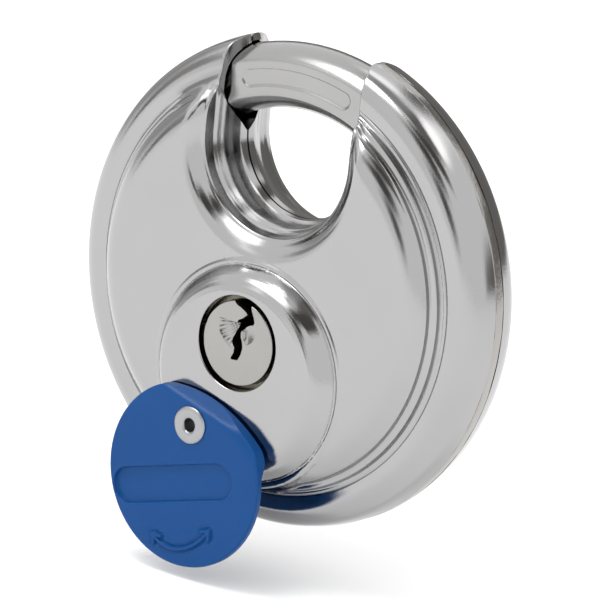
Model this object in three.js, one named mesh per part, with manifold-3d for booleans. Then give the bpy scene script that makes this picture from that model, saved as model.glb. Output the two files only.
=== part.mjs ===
// Disc padlock: a round, drawn stainless case with a curved sliding shackle,
// a pin-tumbler cylinder and a swinging keyhole cover.
// Millimetres. The lock is laid out facing +Z with +Y up, then stood upright
// so that the finished part faces -Y with +Z up and its back face on Y = 0.
import * as THREE from 'three';
import { mergeVertices } from 'three/addons/utils/BufferGeometryUtils.js';
import Module from 'manifold-3d';

const wasm = await Module();
wasm.setup();

// ---------- driving dimensions ----------
const CASE_R = 30.0;            // outer radius of the case over the weld band
const WALL = 1.0;               // sheet thickness of the two drawn shells
const RING_R = 24.8;            // radius of the shackle's centre line about the case axis
const CHANNEL = 4.2;            // radius of the round ports the shackle passes
const FACE_Z = 8.0;             // half thickness over the flat faces
const SPLIT_Z = 0.15;           // each shell ends this far from the middle plane
const BAND_Z = 0.75;            // half width of the weld band
const HOLE_Y = 16.8;            // centre of the bow opening
const HOLE_MID = 9.05;          // its radius on the middle plane
const HOLE_LIP = 10.7;          // its radius at the sharp lip
const LIP_Z = 6.5;              // height of the sharp lip
const HOLE_FACE = 13.3;         // its radius where the flare meets the face
const COLLAR_Y = -10.45;        // centre of the raised keyhole collar
const COLLAR_R = 13.3;          // its foot radius
const COLLAR_TOP = 10.7;        // height of the collar's flat top
const PLUG_Y = -6.35;           // plug axis
const PLUG_R = 5.15;            // plug radius
const PLUG_HOLE = 5.8;          // round window in the collar
const PLUG_FRONT = 10.5;
const PLUG_BACK = -2.8;
const SHACKLE_R = 4.0;          // shackle section radius
const SHACKLE_FLAT = 3.4;       // half thickness over the shackle's two flats
const SHACKLE_TIP = 125;        // degrees, tip seated in the left port
const SHACKLE_TAIL = -55;       // degrees, hidden end
const CRANK_R = -PLUG_Y;        // crank pin circle runs through the case axis
const CRANK_ANGLE = -28;        // degrees, locked
const CARRIER_ANGLE = -59;      // degrees, slot direction when locked
const RIVET_X = -4.0;
const RIVET_Y = -17.0;
const COVER_R = 11.28;
const COVER_X = -4.43;
const COVER_Y = -23.4;
const COVER_BACK = 11.05;
const COVER_FRONT = 13.1;
const PIN_Z = [7.2, 5.2, 3.2, 1.2, -0.8];
const CHAMBER_R = 0.95;
const PIN_R = 0.85;
const CASE_SEG = 48;

const DEG = Math.PI / 180;

// ---------- solid helpers ----------
function clean(geometry) {
  geometry.deleteAttribute('normal');
  geometry.deleteAttribute('uv');
  const g = mergeVertices(geometry, 1e-4);
  const p = g.attributes.position.array;
  const src = g.index.array;
  const tri = [];
  for (let i = 0; i < src.length; i += 3) {
    const [a, b, c] = [src[i], src[i + 1], src[i + 2]];
    if (a !== b && b !== c && a !== c) tri.push(a, b, c);
  }
  let v = 0;
  for (let i = 0; i < tri.length; i += 3) {
    const [a, b, c] = [tri[i] * 3, tri[i + 1] * 3, tri[i + 2] * 3];
    v += p[a] * (p[b + 1] * p[c + 2] - p[b + 2] * p[c + 1])
       + p[a + 1] * (p[b + 2] * p[c] - p[b] * p[c + 2])
       + p[a + 2] * (p[b] * p[c + 1] - p[b + 1] * p[c]);
  }
  if (v < 0) for (let i = 0; i < tri.length; i += 3) [tri[i + 1], tri[i + 2]] = [tri[i + 2], tri[i + 1]];
  return { p: new Float32Array(p), tri: new Uint32Array(tri) };
}

function solid(geometry) {
  const { p, tri } = clean(geometry);
  return new wasm.Manifold(new wasm.Mesh({ numProp: 3, vertProperties: p, triVerts: tri }));
}

function toGeometry(manifold) {
  const m = manifold.getMesh();
  const g = new THREE.BufferGeometry();
  g.setAttribute('position', new THREE.BufferAttribute(new Float32Array(m.vertProperties), 3));
  g.setIndex(new THREE.BufferAttribute(new Uint32Array(m.triVerts), 1));
  g.computeVertexNormals();
  return g;
}

// Turned solid about a line parallel to Z through (x, y); profile is [radius, z] pairs.
function turned(profile, seg, x = 0, y = 0, spin = 0) {
  const g = new THREE.LatheGeometry(profile.map(([r, z]) => new THREE.Vector2(Math.max(r, 0), z)), seg);
  g.rotateX(Math.PI / 2);
  g.rotateZ(spin);
  g.translate(x, y, 0);
  return solid(g);
}

function rod(r, z0, z1, seg, x = 0, y = 0) {
  return turned([[0, z0], [r, z0], [r, z1], [0, z1]], seg, x, y);
}

// Flat shape in XY raised from z0 to z1.
function plate(points, z0, z1) {
  const g = new THREE.ExtrudeGeometry(new THREE.Shape(points.map(([x, y]) => new THREE.Vector2(x, y))),
    { depth: z1 - z0, bevelEnabled: false, steps: 1 });
  g.translate(0, 0, z0);
  return solid(g);
}

function box(x0, x1, y0, y1, z0, z1) {
  const g = new THREE.BoxGeometry(x1 - x0, y1 - y0, z1 - z0);
  g.translate((x0 + x1) / 2, (y0 + y1) / 2, (z0 + z1) / 2);
  return solid(g);
}

// Flat shape in YZ drawn out from x0 to x1.
function alongX(points, x0, x1) {
  const g = new THREE.ExtrudeGeometry(new THREE.Shape(points.map(([y, z]) => new THREE.Vector2(-z, y))),
    { depth: x1 - x0, bevelEnabled: false, steps: 1 });
  g.rotateY(Math.PI / 2);
  g.translate(x0, 0, 0);
  return solid(g);
}

const polar = (r, a) => [r * Math.cos(a * DEG), r * Math.sin(a * DEG)];
const arc = (r, a0, a1, n, cx = 0, cy = 0) => Array.from({ length: n + 1 }, (_, i) => {
  const [x, y] = polar(r, a0 + (a1 - a0) * i / n);
  return [cx + x, cy + y];
});

// ---------- bow opening: a drafted U, flared at each face ----------
function opening(profile, seg) {
  const sym = [...profile.slice().reverse().map(([r, z]) => [r, -z]), ...profile.slice(1)];
  const zEnd = profile[profile.length - 1][1];
  const round = turned([[0, -zEnd], ...sym, [0, zEnd]], seg, 0, HOLE_Y);
  const pts = [...sym.map(([r, z]) => [r, z]), ...sym.slice().reverse().map(([r, z]) => [-r, z])];
  const g = new THREE.ExtrudeGeometry(new THREE.Shape(pts.map(([x, z]) => new THREE.Vector2(x, z))),
    { depth: 20, bevelEnabled: false, steps: 1 });
  g.rotateX(Math.PI / 2);       // shape's second axis becomes Z, depth becomes -Y
  g.translate(0, HOLE_Y + 20, 0);
  return round.add(solid(g));
}
const airOpening = opening([[HOLE_MID, 0], [HOLE_LIP, LIP_Z], [HOLE_FACE, FACE_Z], [HOLE_FACE + 0.01, FACE_Z + 1.3]], 36);
const wallOpening = opening([[HOLE_MID + WALL, 0], [11.4, 5.75], [13.8, 7.08], [14.3, 7.35], [14.31, 9.1]], 36);

// ---------- case shells ----------
const outerProfile = [
  [0, SPLIT_Z], [CASE_R - 0.002, SPLIT_Z], [29.88, 1.2], [29.7, 2.4], [29.45, 3.3], [28.95, 4.1], [28.2, 4.6], [27.3, 4.8],
  [25.3, 4.7], [25.02, 4.75], [24.9, 5.0], [24.82, 5.8], [24.3, 6.4], [23.4, 7.15], [22.3, 7.75], [21.0, FACE_Z],
  [0, FACE_Z],
];
const innerProfile = [
  [0, -0.5], [29.0, -0.5], [28.95, 1.0], [28.75, 2.2], [28.4, 3.0], [27.8, 3.55], [27.1, 3.8],
  [24.6, 3.75], [23.9, 4.5], [23.5, 5.5], [22.5, 6.3], [20.9, FACE_Z - WALL],
  [0, FACE_Z - WALL],
];
const channelTorus = turned(Array.from({ length: 19 }, (_, i) => {
  const a = i * 20 * DEG;
  return [RING_R + (CHANNEL - 0.05) * Math.cos(a), (CHANNEL - 0.05) * Math.sin(a)];
}), CASE_SEG).intersect(box(-13.5, 13.5, 12, 40, -6, 6));
// each port runs down to a point at the seam, below the shackle
const portFoot = alongX([[16.4, 0], [19.7, 3.05], [21.5, 3.3], [21.5, -3.3], [19.7, -3.05]], -11.7, 11.7);
const collarOuter = turned([
  [0, 6.9], [COLLAR_R, 6.9], [COLLAR_R, FACE_Z + 0.1], [12.85, 8.7], [12.3, 9.5], [11.6, 10.15], [10.5, 10.6], [9.8, COLLAR_TOP], [0, COLLAR_TOP],
], 36, 0, COLLAR_Y);
const collarInner = turned([
  [0, 5.9], [12.2, 5.9], [12.15, 7.8], [11.5, 8.85], [10.4, COLLAR_TOP - WALL - 0.1], [9.6, COLLAR_TOP - WALL], [0, COLLAR_TOP - WALL],
], 36, 0, COLLAR_Y);
const bandCut = turned([
  [CASE_R - 1.1, -BAND_Z - 0.05], [CASE_R + 2, -BAND_Z - 0.05], [CASE_R + 2, BAND_Z + 0.05], [CASE_R - 1.1, BAND_Z + 0.05], [CASE_R - 1.1, -BAND_Z - 0.05],
], CASE_SEG);

function shell(front) {
  let outer = turned(outerProfile, CASE_SEG);
  let inner = turned(innerProfile, CASE_SEG);
  if (front) { outer = outer.add(collarOuter); inner = inner.add(collarInner); }
  let s = outer.subtract(airOpening).subtract(inner.subtract(wallOpening)).subtract(channelTorus).subtract(portFoot).subtract(bandCut);
  if (front) {
    s = s.subtract(rod(PLUG_HOLE, 5, 12, 28, 0, PLUG_Y));
    s = s.subtract(rod(1.4, 8, 12, 12, RIVET_X, RIVET_Y));
  }
  return s;
}
const frontShell = shell(true);
const backShell = shell(false).mirror([0, 0, 1]);

const weldBand = turned([
  [CASE_R - 0.95, -BAND_Z], [CASE_R - 0.08, -BAND_Z], [CASE_R, -0.35], [CASE_R, 0.35], [CASE_R - 0.08, BAND_Z], [CASE_R - 0.95, BAND_Z], [CASE_R - 0.95, -BAND_Z],
], CASE_SEG).subtract(airOpening);

// ---------- shackle: a ring of flattened round bar ----------
const flatAngle = Math.asin(SHACKLE_FLAT / SHACKLE_R);
const sectionPts = [];
for (const side of [0, Math.PI]) {
  for (let i = 0; i <= 6; i++) {
    const a = side - flatAngle + 2 * flatAngle * i / 6;
    sectionPts.push([RING_R + SHACKLE_R * Math.cos(a), SHACKLE_R * Math.sin(a)]);
  }
}
sectionPts.push(sectionPts[0]);
const shackleRing = turned(sectionPts, 60);
const gapWedge = plate([[0, 0], ...arc(44, SHACKLE_TIP, SHACKLE_TAIL + 360, 6)], -6, 6);
const PIN_ANGLE = -42;
function radialRod(r, from, to, angle, z, seg) {
  const g = new THREE.CylinderGeometry(r, r, to - from, seg);
  g.translate(0, (from + to) / 2, 0);
  g.rotateZ((angle - 90) * DEG);
  g.translate(0, 0, z);
  return solid(g);
}
let shackle = shackleRing.subtract(gapWedge);
shackle = shackle.subtract(radialRod(1.15, 18, 24.6, PIN_ANGLE, 0, 12));
const stampGroove = plate([...arc(RING_R + 0.95, 71, 109, 10), ...arc(RING_R - 0.95, 109, 71, 10)], SHACKLE_FLAT - 0.15, SHACKLE_FLAT + 1);
shackle = shackle.subtract(stampGroove);

// ---------- carrier that swings the shackle about the case axis ----------
const slotDir = polar(1, CARRIER_ANGLE);
const slotSide = [-slotDir[1], slotDir[0]];
function slotShape(r0, r1, hw) {
  const at = (r, s) => [slotDir[0] * r + slotSide[0] * s, slotDir[1] * r + slotSide[1] * s];
  const a = CARRIER_ANGLE;
  const end = (rc, s) => Array.from({ length: 7 }, (_, i) => {
    const t = (a + s * (-90 + 30 * i)) * DEG;
    return [slotDir[0] * rc + hw * Math.cos(t + (s < 0 ? Math.PI : 0)), slotDir[1] * rc + hw * Math.sin(t + (s < 0 ? Math.PI : 0))];
  });
  return [...end(r1, 1), ...Array.from({ length: 7 }, (_, i) => {
    const t = (a + 90 + 30 * i) * DEG;
    return [slotDir[0] * r0 + hw * Math.cos(t), slotDir[1] * r0 + hw * Math.sin(t)];
  })];
}
let carrier = plate([...arc(20.2, -74, -34, 10), ...arc(3.2, -98, -10, 8).reverse()], -6.7, -4.7)
  .add(rod(3.2, -6.7, -4.7, 24));
carrier = carrier.add(plate([...arc(20.4, -49, -35, 4), ...arc(17.8, -35, -49, 4)], -4.9, 2.0));
carrier = carrier.subtract(rod(2.06, -8, 0, 24));
carrier = carrier.subtract(plate(slotShape(10.5, 12.75, 1.35), -8, -4));
carrier = carrier.subtract(radialRod(1.15, 17, 22, PIN_ANGLE, 0, 12));
const carrierPin = radialRod(1.1, 17.9, 24.4, PIN_ANGLE, 0, 12);
const pivotPost = rod(2.0, -FACE_Z + WALL + 0.05, -4.6, 24);

// ---------- cylinder: housing, plug, pins ----------
const BLOCK_BOTTOM = -16.6;
let housing = turned([[0, PLUG_BACK + 0.15], [6.9, PLUG_BACK + 0.15], [6.9, 6.6], [6.4, 6.6], [6.4, 9.0], [0, 9.0]], 24, 0, PLUG_Y)
  .add(box(-3.0, 3.0, BLOCK_BOTTOM, PLUG_Y, PLUG_BACK + 0.15, 8.4));
housing = housing.subtract(rod(PLUG_R + 0.08, -6, 12, 28, 0, PLUG_Y));
const vertical = (r, y0, y1, z, seg, r1 = r) => {
  const g = new THREE.CylinderGeometry(r1, r, y1 - y0, seg);
  g.translate(0, (y0 + y1) / 2, 0);
  g.translate(0, 0, z);
  return solid(g);
};
for (const z of PIN_Z) housing = housing.subtract(vertical(CHAMBER_R, BLOCK_BOTTOM - 1, PLUG_Y - 4, z, 12));
housing = housing.subtract(box(-1.6, 1.6, BLOCK_BOTTOM - 1, BLOCK_BOTTOM + 0.45, PLUG_BACK - 1, 8.2));
const chamberCap = box(-1.5, 1.5, BLOCK_BOTTOM + 0.03, BLOCK_BOTTOM + 0.38, PLUG_BACK + 0.3, 8.1);

const keyway = [[-0.35, -0.6], [1.95, -0.6], [1.7, -1.9], [1.0, -2.6], [1.15, -3.4], [1.35, -4.2], [0.7, -5.0],
  [0.75, -5.7], [1.15, -6.5], [0.95, -7.3], [0.35, -8.45], [-0.75, -8.3], [-0.2, -7.2], [0.05, -6.6], [-0.35, -5.9],
  [-0.45, -5.1], [0.15, -4.3], [-0.1, -3.5], [-0.15, -2.6], [0.25, -1.9]];
let plug = turned([[0, PLUG_BACK], [PLUG_R, PLUG_BACK], [PLUG_R, PLUG_FRONT - 0.25], [PLUG_R - 0.25, PLUG_FRONT], [0, PLUG_FRONT]], 28, 0, PLUG_Y)
  .add(rod(2.2, -4.45, PLUG_BACK + 0.5, 20, 0, PLUG_Y));
plug = plug.subtract(plate(keyway, -1.9, 12));
for (const z of PIN_Z) plug = plug.subtract(vertical(CHAMBER_R, PLUG_Y - 6, -8.0, z, 12));
let lever = plate([...arc(3.4, CRANK_ANGLE + 60, CRANK_ANGLE + 300, 14, 0, PLUG_Y), ...arc(1.7, CRANK_ANGLE - 70, CRANK_ANGLE + 70, 8,
  CRANK_R * Math.cos(CRANK_ANGLE * DEG), PLUG_Y + CRANK_R * Math.sin(CRANK_ANGLE * DEG))], -4.5, PLUG_BACK - 0.05);
lever = lever.subtract(rod(2.25, -6, 0, 20, 0, PLUG_Y));
const CP = [CRANK_R * Math.cos(CRANK_ANGLE * DEG), PLUG_Y + CRANK_R * Math.sin(CRANK_ANGLE * DEG)];
lever = lever.subtract(rod(1.03, -6, 0, 16, ...CP));
const crankPin = turned([[0, -6.6], [1.2, -6.6], [1.2, -4.55], [0.98, -4.55], [0.98, PLUG_BACK - 0.1], [0, PLUG_BACK - 0.1]], 16, ...CP);

const SHEAR = PLUG_Y - PLUG_R;
const keyPin = z => vertical(PIN_R, SHEAR + 0.05, -9.0, z, 12).add(vertical(PIN_R, -9.02, -8.55, z, 12, 0.25));
const driverPin = z => vertical(PIN_R, SHEAR - 2.15, SHEAR - 0.2, z, 12);
function coil(z) {
  const y0 = BLOCK_BOTTOM + 0.5, y1 = SHEAR - 2.25, turns = 3.5;
  class Helix extends THREE.Curve {
    getPoint(t, target = new THREE.Vector3()) {
      const a = t * turns * 2 * Math.PI;
      return target.set(0.66 * Math.cos(a), y0 + 0.15 + (y1 - y0 - 0.3) * t, 0.66 * Math.sin(a) + z);
    }
  }
  const s = new THREE.Shape(Array.from({ length: 4 }, (_, i) => new THREE.Vector2(0.13 * Math.cos(i * 90 * DEG), 0.13 * Math.sin(i * 90 * DEG))));
  return solid(new THREE.ExtrudeGeometry(s, { steps: 24, bevelEnabled: false, extrudePath: new Helix() }));
}

// ---------- keyhole cover on its eyelet ----------
// A disc with an undercut back edge; the side by the rivet is cut nearly straight and sloped.
const CUT_A = [-8.45, -13.05];
const CUT_B = [3.46, -16.54];
let cover = turned([[0, COVER_BACK], [10.1, COVER_BACK], [COVER_R - 0.1, 12.1], [COVER_R, 12.3], [COVER_R, COVER_FRONT - 0.45], [COVER_R - 0.2, COVER_FRONT - 0.12],
  [COVER_R - 0.6, COVER_FRONT], [0, COVER_FRONT]], 40, COVER_X, COVER_Y);
const cutAngle = Math.atan2(CUT_B[1] - CUT_A[1], CUT_B[0] - CUT_A[0]) + Math.PI / 2;
const slope = new THREE.ExtrudeGeometry(new THREE.Shape([[0, COVER_FRONT], [0.3, 12.85], [1.2, 11.25], [1.2, 10], [6, 10], [6, 15], [0, 15]].map(([u, z]) => new THREE.Vector2(u, z))),
  { depth: 30, bevelEnabled: false, steps: 1 });
slope.translate(0, 0, -15);
slope.rotateX(Math.PI / 2);
slope.rotateZ(cutAngle);
slope.translate((CUT_A[0] + CUT_B[0]) / 2, (CUT_A[1] + CUT_B[1]) / 2, 0);
cover = cover.subtract(solid(slope));
cover = cover.subtract(rod(1.4, 9, 14, 20, RIVET_X, RIVET_Y));
const eyelet = turned([[0.75, 9.0], [2.1, 9.0], [2.1, 9.3], [1.32, 9.6], [1.32, 13.15], [2.3, 13.15], [2.3, 13.32], [1.9, 13.45], [1.1, 13.45], [0.75, 13.2], [0.75, 9.0]], 16, RIVET_X, RIVET_Y);
const washer = turned([[1.45, COLLAR_TOP + 0.03], [2.4, COLLAR_TOP + 0.03], [2.4, COVER_BACK - 0.05], [1.45, COVER_BACK - 0.05], [1.45, COLLAR_TOP + 0.03]], 16, RIVET_X, RIVET_Y);

// ---------- assembly ----------
const lock = new THREE.Group();
lock.name = 'disc_padlock';
const upright = new THREE.Group();
upright.rotation.x = Math.PI / 2;
upright.position.y = -FACE_Z;
lock.add(upright);

const look = {
  stainless: [0xc9cacc, 0.16, 1.0], weld: [0xb4b4b4, 0.4, 1.0], shackle: [0xbcbcba, 0.3, 1.0], nickel: [0xd2cec6, 0.22, 1.0],
  steel: [0x9a9a9a, 0.45, 1.0], brass: [0xb08d45, 0.35, 1.0], blue: [0x1159ad, 0.4, 0.0], eyelet: [0xcfd2d6, 0.35, 1.0],
};
function add(name, body, kind) {
  const [color, roughness, metalness] = look[kind];
  const mesh = new THREE.Mesh(toGeometry(body), new THREE.MeshStandardMaterial({ color, roughness, metalness }));
  mesh.name = name;
  upright.add(mesh);
}
add('front_shell', frontShell, 'stainless');
add('back_shell', backShell, 'stainless');
add('weld_band', weldBand, 'weld');
add('shackle', shackle, 'shackle');
add('shackle_carrier', carrier, 'steel');
add('carrier_pin', carrierPin, 'steel');
add('pivot_post', pivotPost, 'steel');
add('cylinder_housing', housing, 'brass');
add('chamber_cap', chamberCap, 'brass');
add('plug', plug, 'nickel');
add('crank_lever', lever, 'steel');
add('crank_pin', crankPin, 'steel');
PIN_Z.forEach((z, i) => {
  add(`key_pin_${i + 1}`, keyPin(z), 'brass');
  add(`driver_pin_${i + 1}`, driverPin(z), 'brass');
  add(`chamber_spring_${i + 1}`, coil(z), 'steel');
});
add('keyhole_cover', cover, 'blue');
add('cover_eyelet', eyelet, 'eyelet');
add('cover_washer', washer, 'eyelet');

export default lock;
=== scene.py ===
import math

import bpy
import numpy as np
from mathutils import Matrix, Vector
from mathutils.geometry import delaunay_2d_cdt
from mathutils.kdtree import KDTree


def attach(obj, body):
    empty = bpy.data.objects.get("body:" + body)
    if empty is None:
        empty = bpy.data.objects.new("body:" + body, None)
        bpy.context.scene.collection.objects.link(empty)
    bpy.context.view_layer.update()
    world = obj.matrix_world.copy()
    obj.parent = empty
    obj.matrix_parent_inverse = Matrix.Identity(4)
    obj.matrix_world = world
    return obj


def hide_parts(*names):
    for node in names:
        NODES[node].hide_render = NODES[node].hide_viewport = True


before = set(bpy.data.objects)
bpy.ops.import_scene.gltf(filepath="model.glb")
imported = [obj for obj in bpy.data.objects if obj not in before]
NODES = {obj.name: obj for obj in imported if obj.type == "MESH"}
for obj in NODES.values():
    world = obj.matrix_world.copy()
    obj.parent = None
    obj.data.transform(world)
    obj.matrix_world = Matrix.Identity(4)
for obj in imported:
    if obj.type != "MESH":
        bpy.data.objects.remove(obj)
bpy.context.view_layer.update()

# Lengths are in millimetres in the lock's own frame: x right, y up, z out of the front face,
# z = 0 in the case's middle plane. place() turns them into the row frame in metres.
HALF = 8.0


def place(p):
    p = np.asarray(p, float)
    return np.stack([p[..., 0], -p[..., 2] - HALF, p[..., 1]], -1) * 1e-3


def turn(v):
    v = np.asarray(v, float)
    return np.stack([v[..., 0], -v[..., 2], v[..., 1]], -1)


# ------------------------------------------------------------------ mesh helpers
def unit(v):
    return v / np.maximum(np.linalg.norm(v, axis=-1, keepdims=True), 1e-12)


def surface_normals(fn, q, eps=0.03):
    dx, dy = np.array([eps, 0.0]), np.array([0.0, eps])
    a = fn(q + dx) - fn(q - dx)
    b = fn(q + dy) - fn(q - dy)
    return unit(np.cross(a, b))


def vertex_normals(v, f):
    n = np.zeros_like(v)
    fn = np.cross(v[f[:, 1]] - v[f[:, 0]], v[f[:, 2]] - v[f[:, 0]])
    for k in range(3):
        np.add.at(n, f[:, k], fn)
    return unit(n)


def make_piece(name, verts, tris, loop_normals, mats, mat_index=None):
    """One mesh from triangles in the lock frame, with a normal for every triangle corner."""
    me = bpy.data.meshes.new(name)
    me.vertices.add(len(verts))
    me.vertices.foreach_set("co", place(verts).astype(np.float32).ravel())
    me.loops.add(len(tris) * 3)
    me.loops.foreach_set("vertex_index", tris.astype(np.int32).ravel())
    me.polygons.add(len(tris))
    me.polygons.foreach_set("loop_start", np.arange(0, len(tris) * 3, 3, dtype=np.int32))
    me.polygons.foreach_set("use_smooth", np.ones(len(tris), bool))
    for m in mats:
        me.materials.append(m)
    if mat_index is not None:
        me.polygons.foreach_set("material_index", mat_index.astype(np.int32))
    me.update(calc_edges=True)
    me.validate()
    me.normals_split_custom_set(turn(loop_normals).reshape(-1, 3).tolist())
    o = bpy.data.objects.new(name, me)
    bpy.context.scene.collection.objects.link(o)
    return o


def triangulate(points, loops, inside):
    """Triangles of points (the loops' own points come first) whose centres pass inside()."""
    edges, at = [], 0
    for n, closed in loops:
        edges += [(at + i, at + i + 1) for i in range(n - 1)]
        if closed:
            edges.append((at + n - 1, at))
        at += n
    got = delaunay_2d_cdt([Vector(p) for p in points], edges, [], 0, 1e-7)
    verts = np.array([tuple(v) for v in got[0]], float)
    tris = np.array([t for t in got[2] if len(t) == 3], int)
    keep = inside(verts[tris].mean(1))
    tris = tris[keep]
    e1, e2 = verts[tris[:, 1]] - verts[tris[:, 0]], verts[tris[:, 2]] - verts[tris[:, 0]]
    area = e1[:, 0] * e2[:, 1] - e1[:, 1] * e2[:, 0]
    tris = tris[np.abs(area) > 1e-9]
    area = area[np.abs(area) > 1e-9]
    tris[area < 0] = tris[area < 0][:, ::-1]
    used = np.unique(tris)
    back = -np.ones(len(verts), int)
    back[used] = np.arange(len(used))
    return verts[used], back[tris]


def thin_out(new, old, h):
    kd = KDTree(len(old))
    for i, p in enumerate(old):
        kd.insert((p[0], p[1], 0.0), i)
    kd.balance()
    h = np.broadcast_to(h, (len(new),))
    ok = [kd.find((p[0], p[1], 0.0))[2] > h[i] for i, p in enumerate(new)]
    return new[np.array(ok, bool)]


def open_edges(tris):
    """Directed edges used by one triangle only."""
    e = np.concatenate([tris[:, [0, 1]], tris[:, [1, 2]], tris[:, [2, 0]]])
    key = {}
    for a, b in e.tolist():
        key[(a, b)] = key.get((a, b), 0) + 1
    return [(a, b) for (a, b) in key if (b, a) not in key]


def hexgrid(x0, x1, y0, y1, h):
    ys = np.arange(y0, y1, h * 0.8660254)
    rows = [np.stack([np.arange(x0 + (i % 2) * h / 2, x1, h), np.full(len(np.arange(x0 + (i % 2) * h / 2, x1, h)), y)], 1) for i, y in enumerate(ys)]
    return np.concatenate(rows)


def smooth_curve(pts, sigma, step=0.01, sharp=None):
    """Dense copy of a polyline with rounded corners. sharp is (first, last, sigma) by x."""
    pts = np.asarray(pts, float)
    seg = np.linalg.norm(np.diff(pts, axis=0), axis=1)
    s = np.concatenate([[0], np.cumsum(seg)])
    t = np.arange(0, s[-1], step)
    d = np.stack([np.interp(t, s, pts[:, k]) for k in range(2)], 1)
    d = np.concatenate([d, pts[-1:]])

    def blur(sig):
        n = int(4 * sig / step)
        k = np.exp(-0.5 * (np.arange(-n, n + 1) * step / sig) ** 2)
        k /= k.sum()
        lead = d[0] + (d[0] - d[1]) * np.arange(n, 0, -1)[:, None]
        tail = d[-1] + (d[-1] - d[-2]) / max(np.linalg.norm(d[-1] - d[-2]), 1e-9) * step * np.arange(1, n + 1)[:, None]
        e = np.concatenate([lead, d, tail])
        return np.stack([np.convolve(e[:, c], k, "valid") for c in range(2)], 1)

    out = blur(sigma)
    if sharp:
        a, b, sig = sharp
        w = np.clip((d[:, 0] - a) / 0.5 + 1, 0, 1) * np.clip((b - d[:, 0]) / 0.5 + 1, 0, 1)
        w = (w * w * (3 - 2 * w))[:, None]
        out = out * (1 - w) + blur(sig) * w
    return out


def smin(a, b, k):
    h = np.clip(0.5 + 0.5 * (b - a) / k, 0, 1)
    return b * (1 - h) + a * h - k * h * (1 - h)


def smax(a, b, k):
    return -smin(-a, -b, k)


def smooth01(t):
    t = np.clip(t, 0, 1)
    return t * t * (3 - 2 * t)


def fillet(t, r):
    """Drop below a flat edge at distance t from it, for a rounded edge of radius r."""
    inside = np.clip(r - t, 0, r)
    return np.where(t >= 0, r - np.sqrt(np.maximum(r * r - inside * inside, 0)), r - 3.0 * t)


# ------------------------------------------------------------------ case shells
HOLE_Y = 16.8
EDGE = 0.25
SEAM = 0.15
OUTER_KEYS = [(0, 8.0), (20.9, 8.0), (21.9, 7.88), (22.8, 7.52), (23.45, 7.08), (23.8, 6.72), (23.95, 6.4), (24.04, 5.85), (24.16, 5.64), (24.5, 5.57), (24.76, 5.5), (24.86, 5.05), (25.0, 4.75),
              (25.12, 4.72), (25.4, 4.72), (25.55, 4.56), (25.7, 4.69), (26.4, 4.72), (26.95, 4.76), (27.3, 4.73), (27.7, 4.61), (28.1, 4.44), (28.6, 4.18), (29.08, 3.8), (29.43, 3.17), (29.68, 2.3), (29.84, 1.4), (29.93, 0.8)]
INNER_KEYS = [(0, 7.0), (20.8, 7.0), (21.5, 6.75), (22.3, 6.4), (23.0, 5.85), (23.5, 5.3), (23.8, 4.8), (24.0, 4.3), (24.3, 3.85),
              (24.7, 3.75), (26.1, 3.77), (27.0, 3.8), (27.6, 3.62), (28.05, 3.35), (28.4, 2.95), (28.65, 2.4), (28.82, 1.7), (28.9, 1.2), (28.95, 0.8)]
prof = smooth_curve(OUTER_KEYS, 0.34, sharp=(23.75, 25.85, 0.055))
prof[:, 1] = np.minimum(prof[:, 1], 8.0)
PS = np.concatenate([[0], np.cumsum(np.linalg.norm(np.diff(prof, axis=0), axis=1))])
S_END = PS[-1]
PSX = np.append(PS, PS[-1] + 1)
PRX = np.append(prof[:, 0], prof[-1, 0] + (prof[-1, 0] - prof[-30, 0]) / (PS[-1] - PS[-30]))
soft = smooth_curve([(0, 8.0), (20.9, 8.0), (21.9, 7.88), (22.8, 7.52), (23.6, 6.98), (24.3, 6.2), (25.0, 5.3), (25.8, 4.85), (26.4, 4.72), (26.95, 4.76), (27.3, 4.73), (27.7, 4.61), (28.1, 4.44), (28.6, 4.18), (29.08, 3.8), (29.43, 3.17), (29.68, 2.3), (29.84, 1.4), (29.93, 0.8)], 0.5)
PZX = np.append(prof[:, 1], prof[-1, 1] + (prof[-1, 1] - prof[-30, 1]) / (PS[-1] - PS[-30]))
SKIN_R = (0, 20.9, 21.9, 22.8, 23.6, 24.3, 24.78, 24.86, 25.0, 25.4, 26.4, 27.25, 28.0, 28.6, 29.08, 29.43, 29.68, 29.84, 29.93)
ks = np.interp(SKIN_R, prof[:, 0], PS)


def prof_r(s):
    return np.interp(s, PSX, PRX)


def prof_z(s, x=None, y=None):
    """Face height; the step between plateau and rim fades away beside the opening's left side."""
    z = np.interp(s, PSX, PZX)
    if x is None:
        return z
    smooth = np.interp(np.interp(s, PSX, PRX), soft[:, 0], soft[:, 1])
    fade = smooth01((y - 17.5) / 3.5) * (np.asarray(x) < 0) * (np.interp(s, PSX, PRX) < 28)
    return z + (np.minimum(smooth, 8.0) - z) * fade


def meet(z, f, y, r):
    """Height where the plateau or rim, z, meets the opening's flare, f; the plateau's upper corners are rounded in plan."""
    plain = smin(z, f, 0.42)
    rounded = 8.0 - (np.maximum(8.0 - z, 0) ** 1.5 + np.maximum(8.0 - f, 0) ** 1.5) ** (1 / 1.5)
    return plain + (rounded - plain) * smooth01((y - 16.0) / 2.5) * smooth01((25.6 - r) / 1.4)


flare = smooth_curve([(9.5, 6.2), (10.6, 6.42), (11.0, 6.52), (11.22, 6.72), (11.7, 7.2), (12.3, 7.62), (12.9, 7.96), (13.6, 8.3), (15.0, 8.9)], 0.12)
wall = smooth_curve([(0.0, 9.12), (1.25, 9.15), (1.6, 9.25), (2.2, 9.48), (3.2, 9.93), (3.8, 10.1), (5.2, 10.34), (5.8, 10.5), (6.5, 10.78), (8.5, 11.4)], 0.12)
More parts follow.
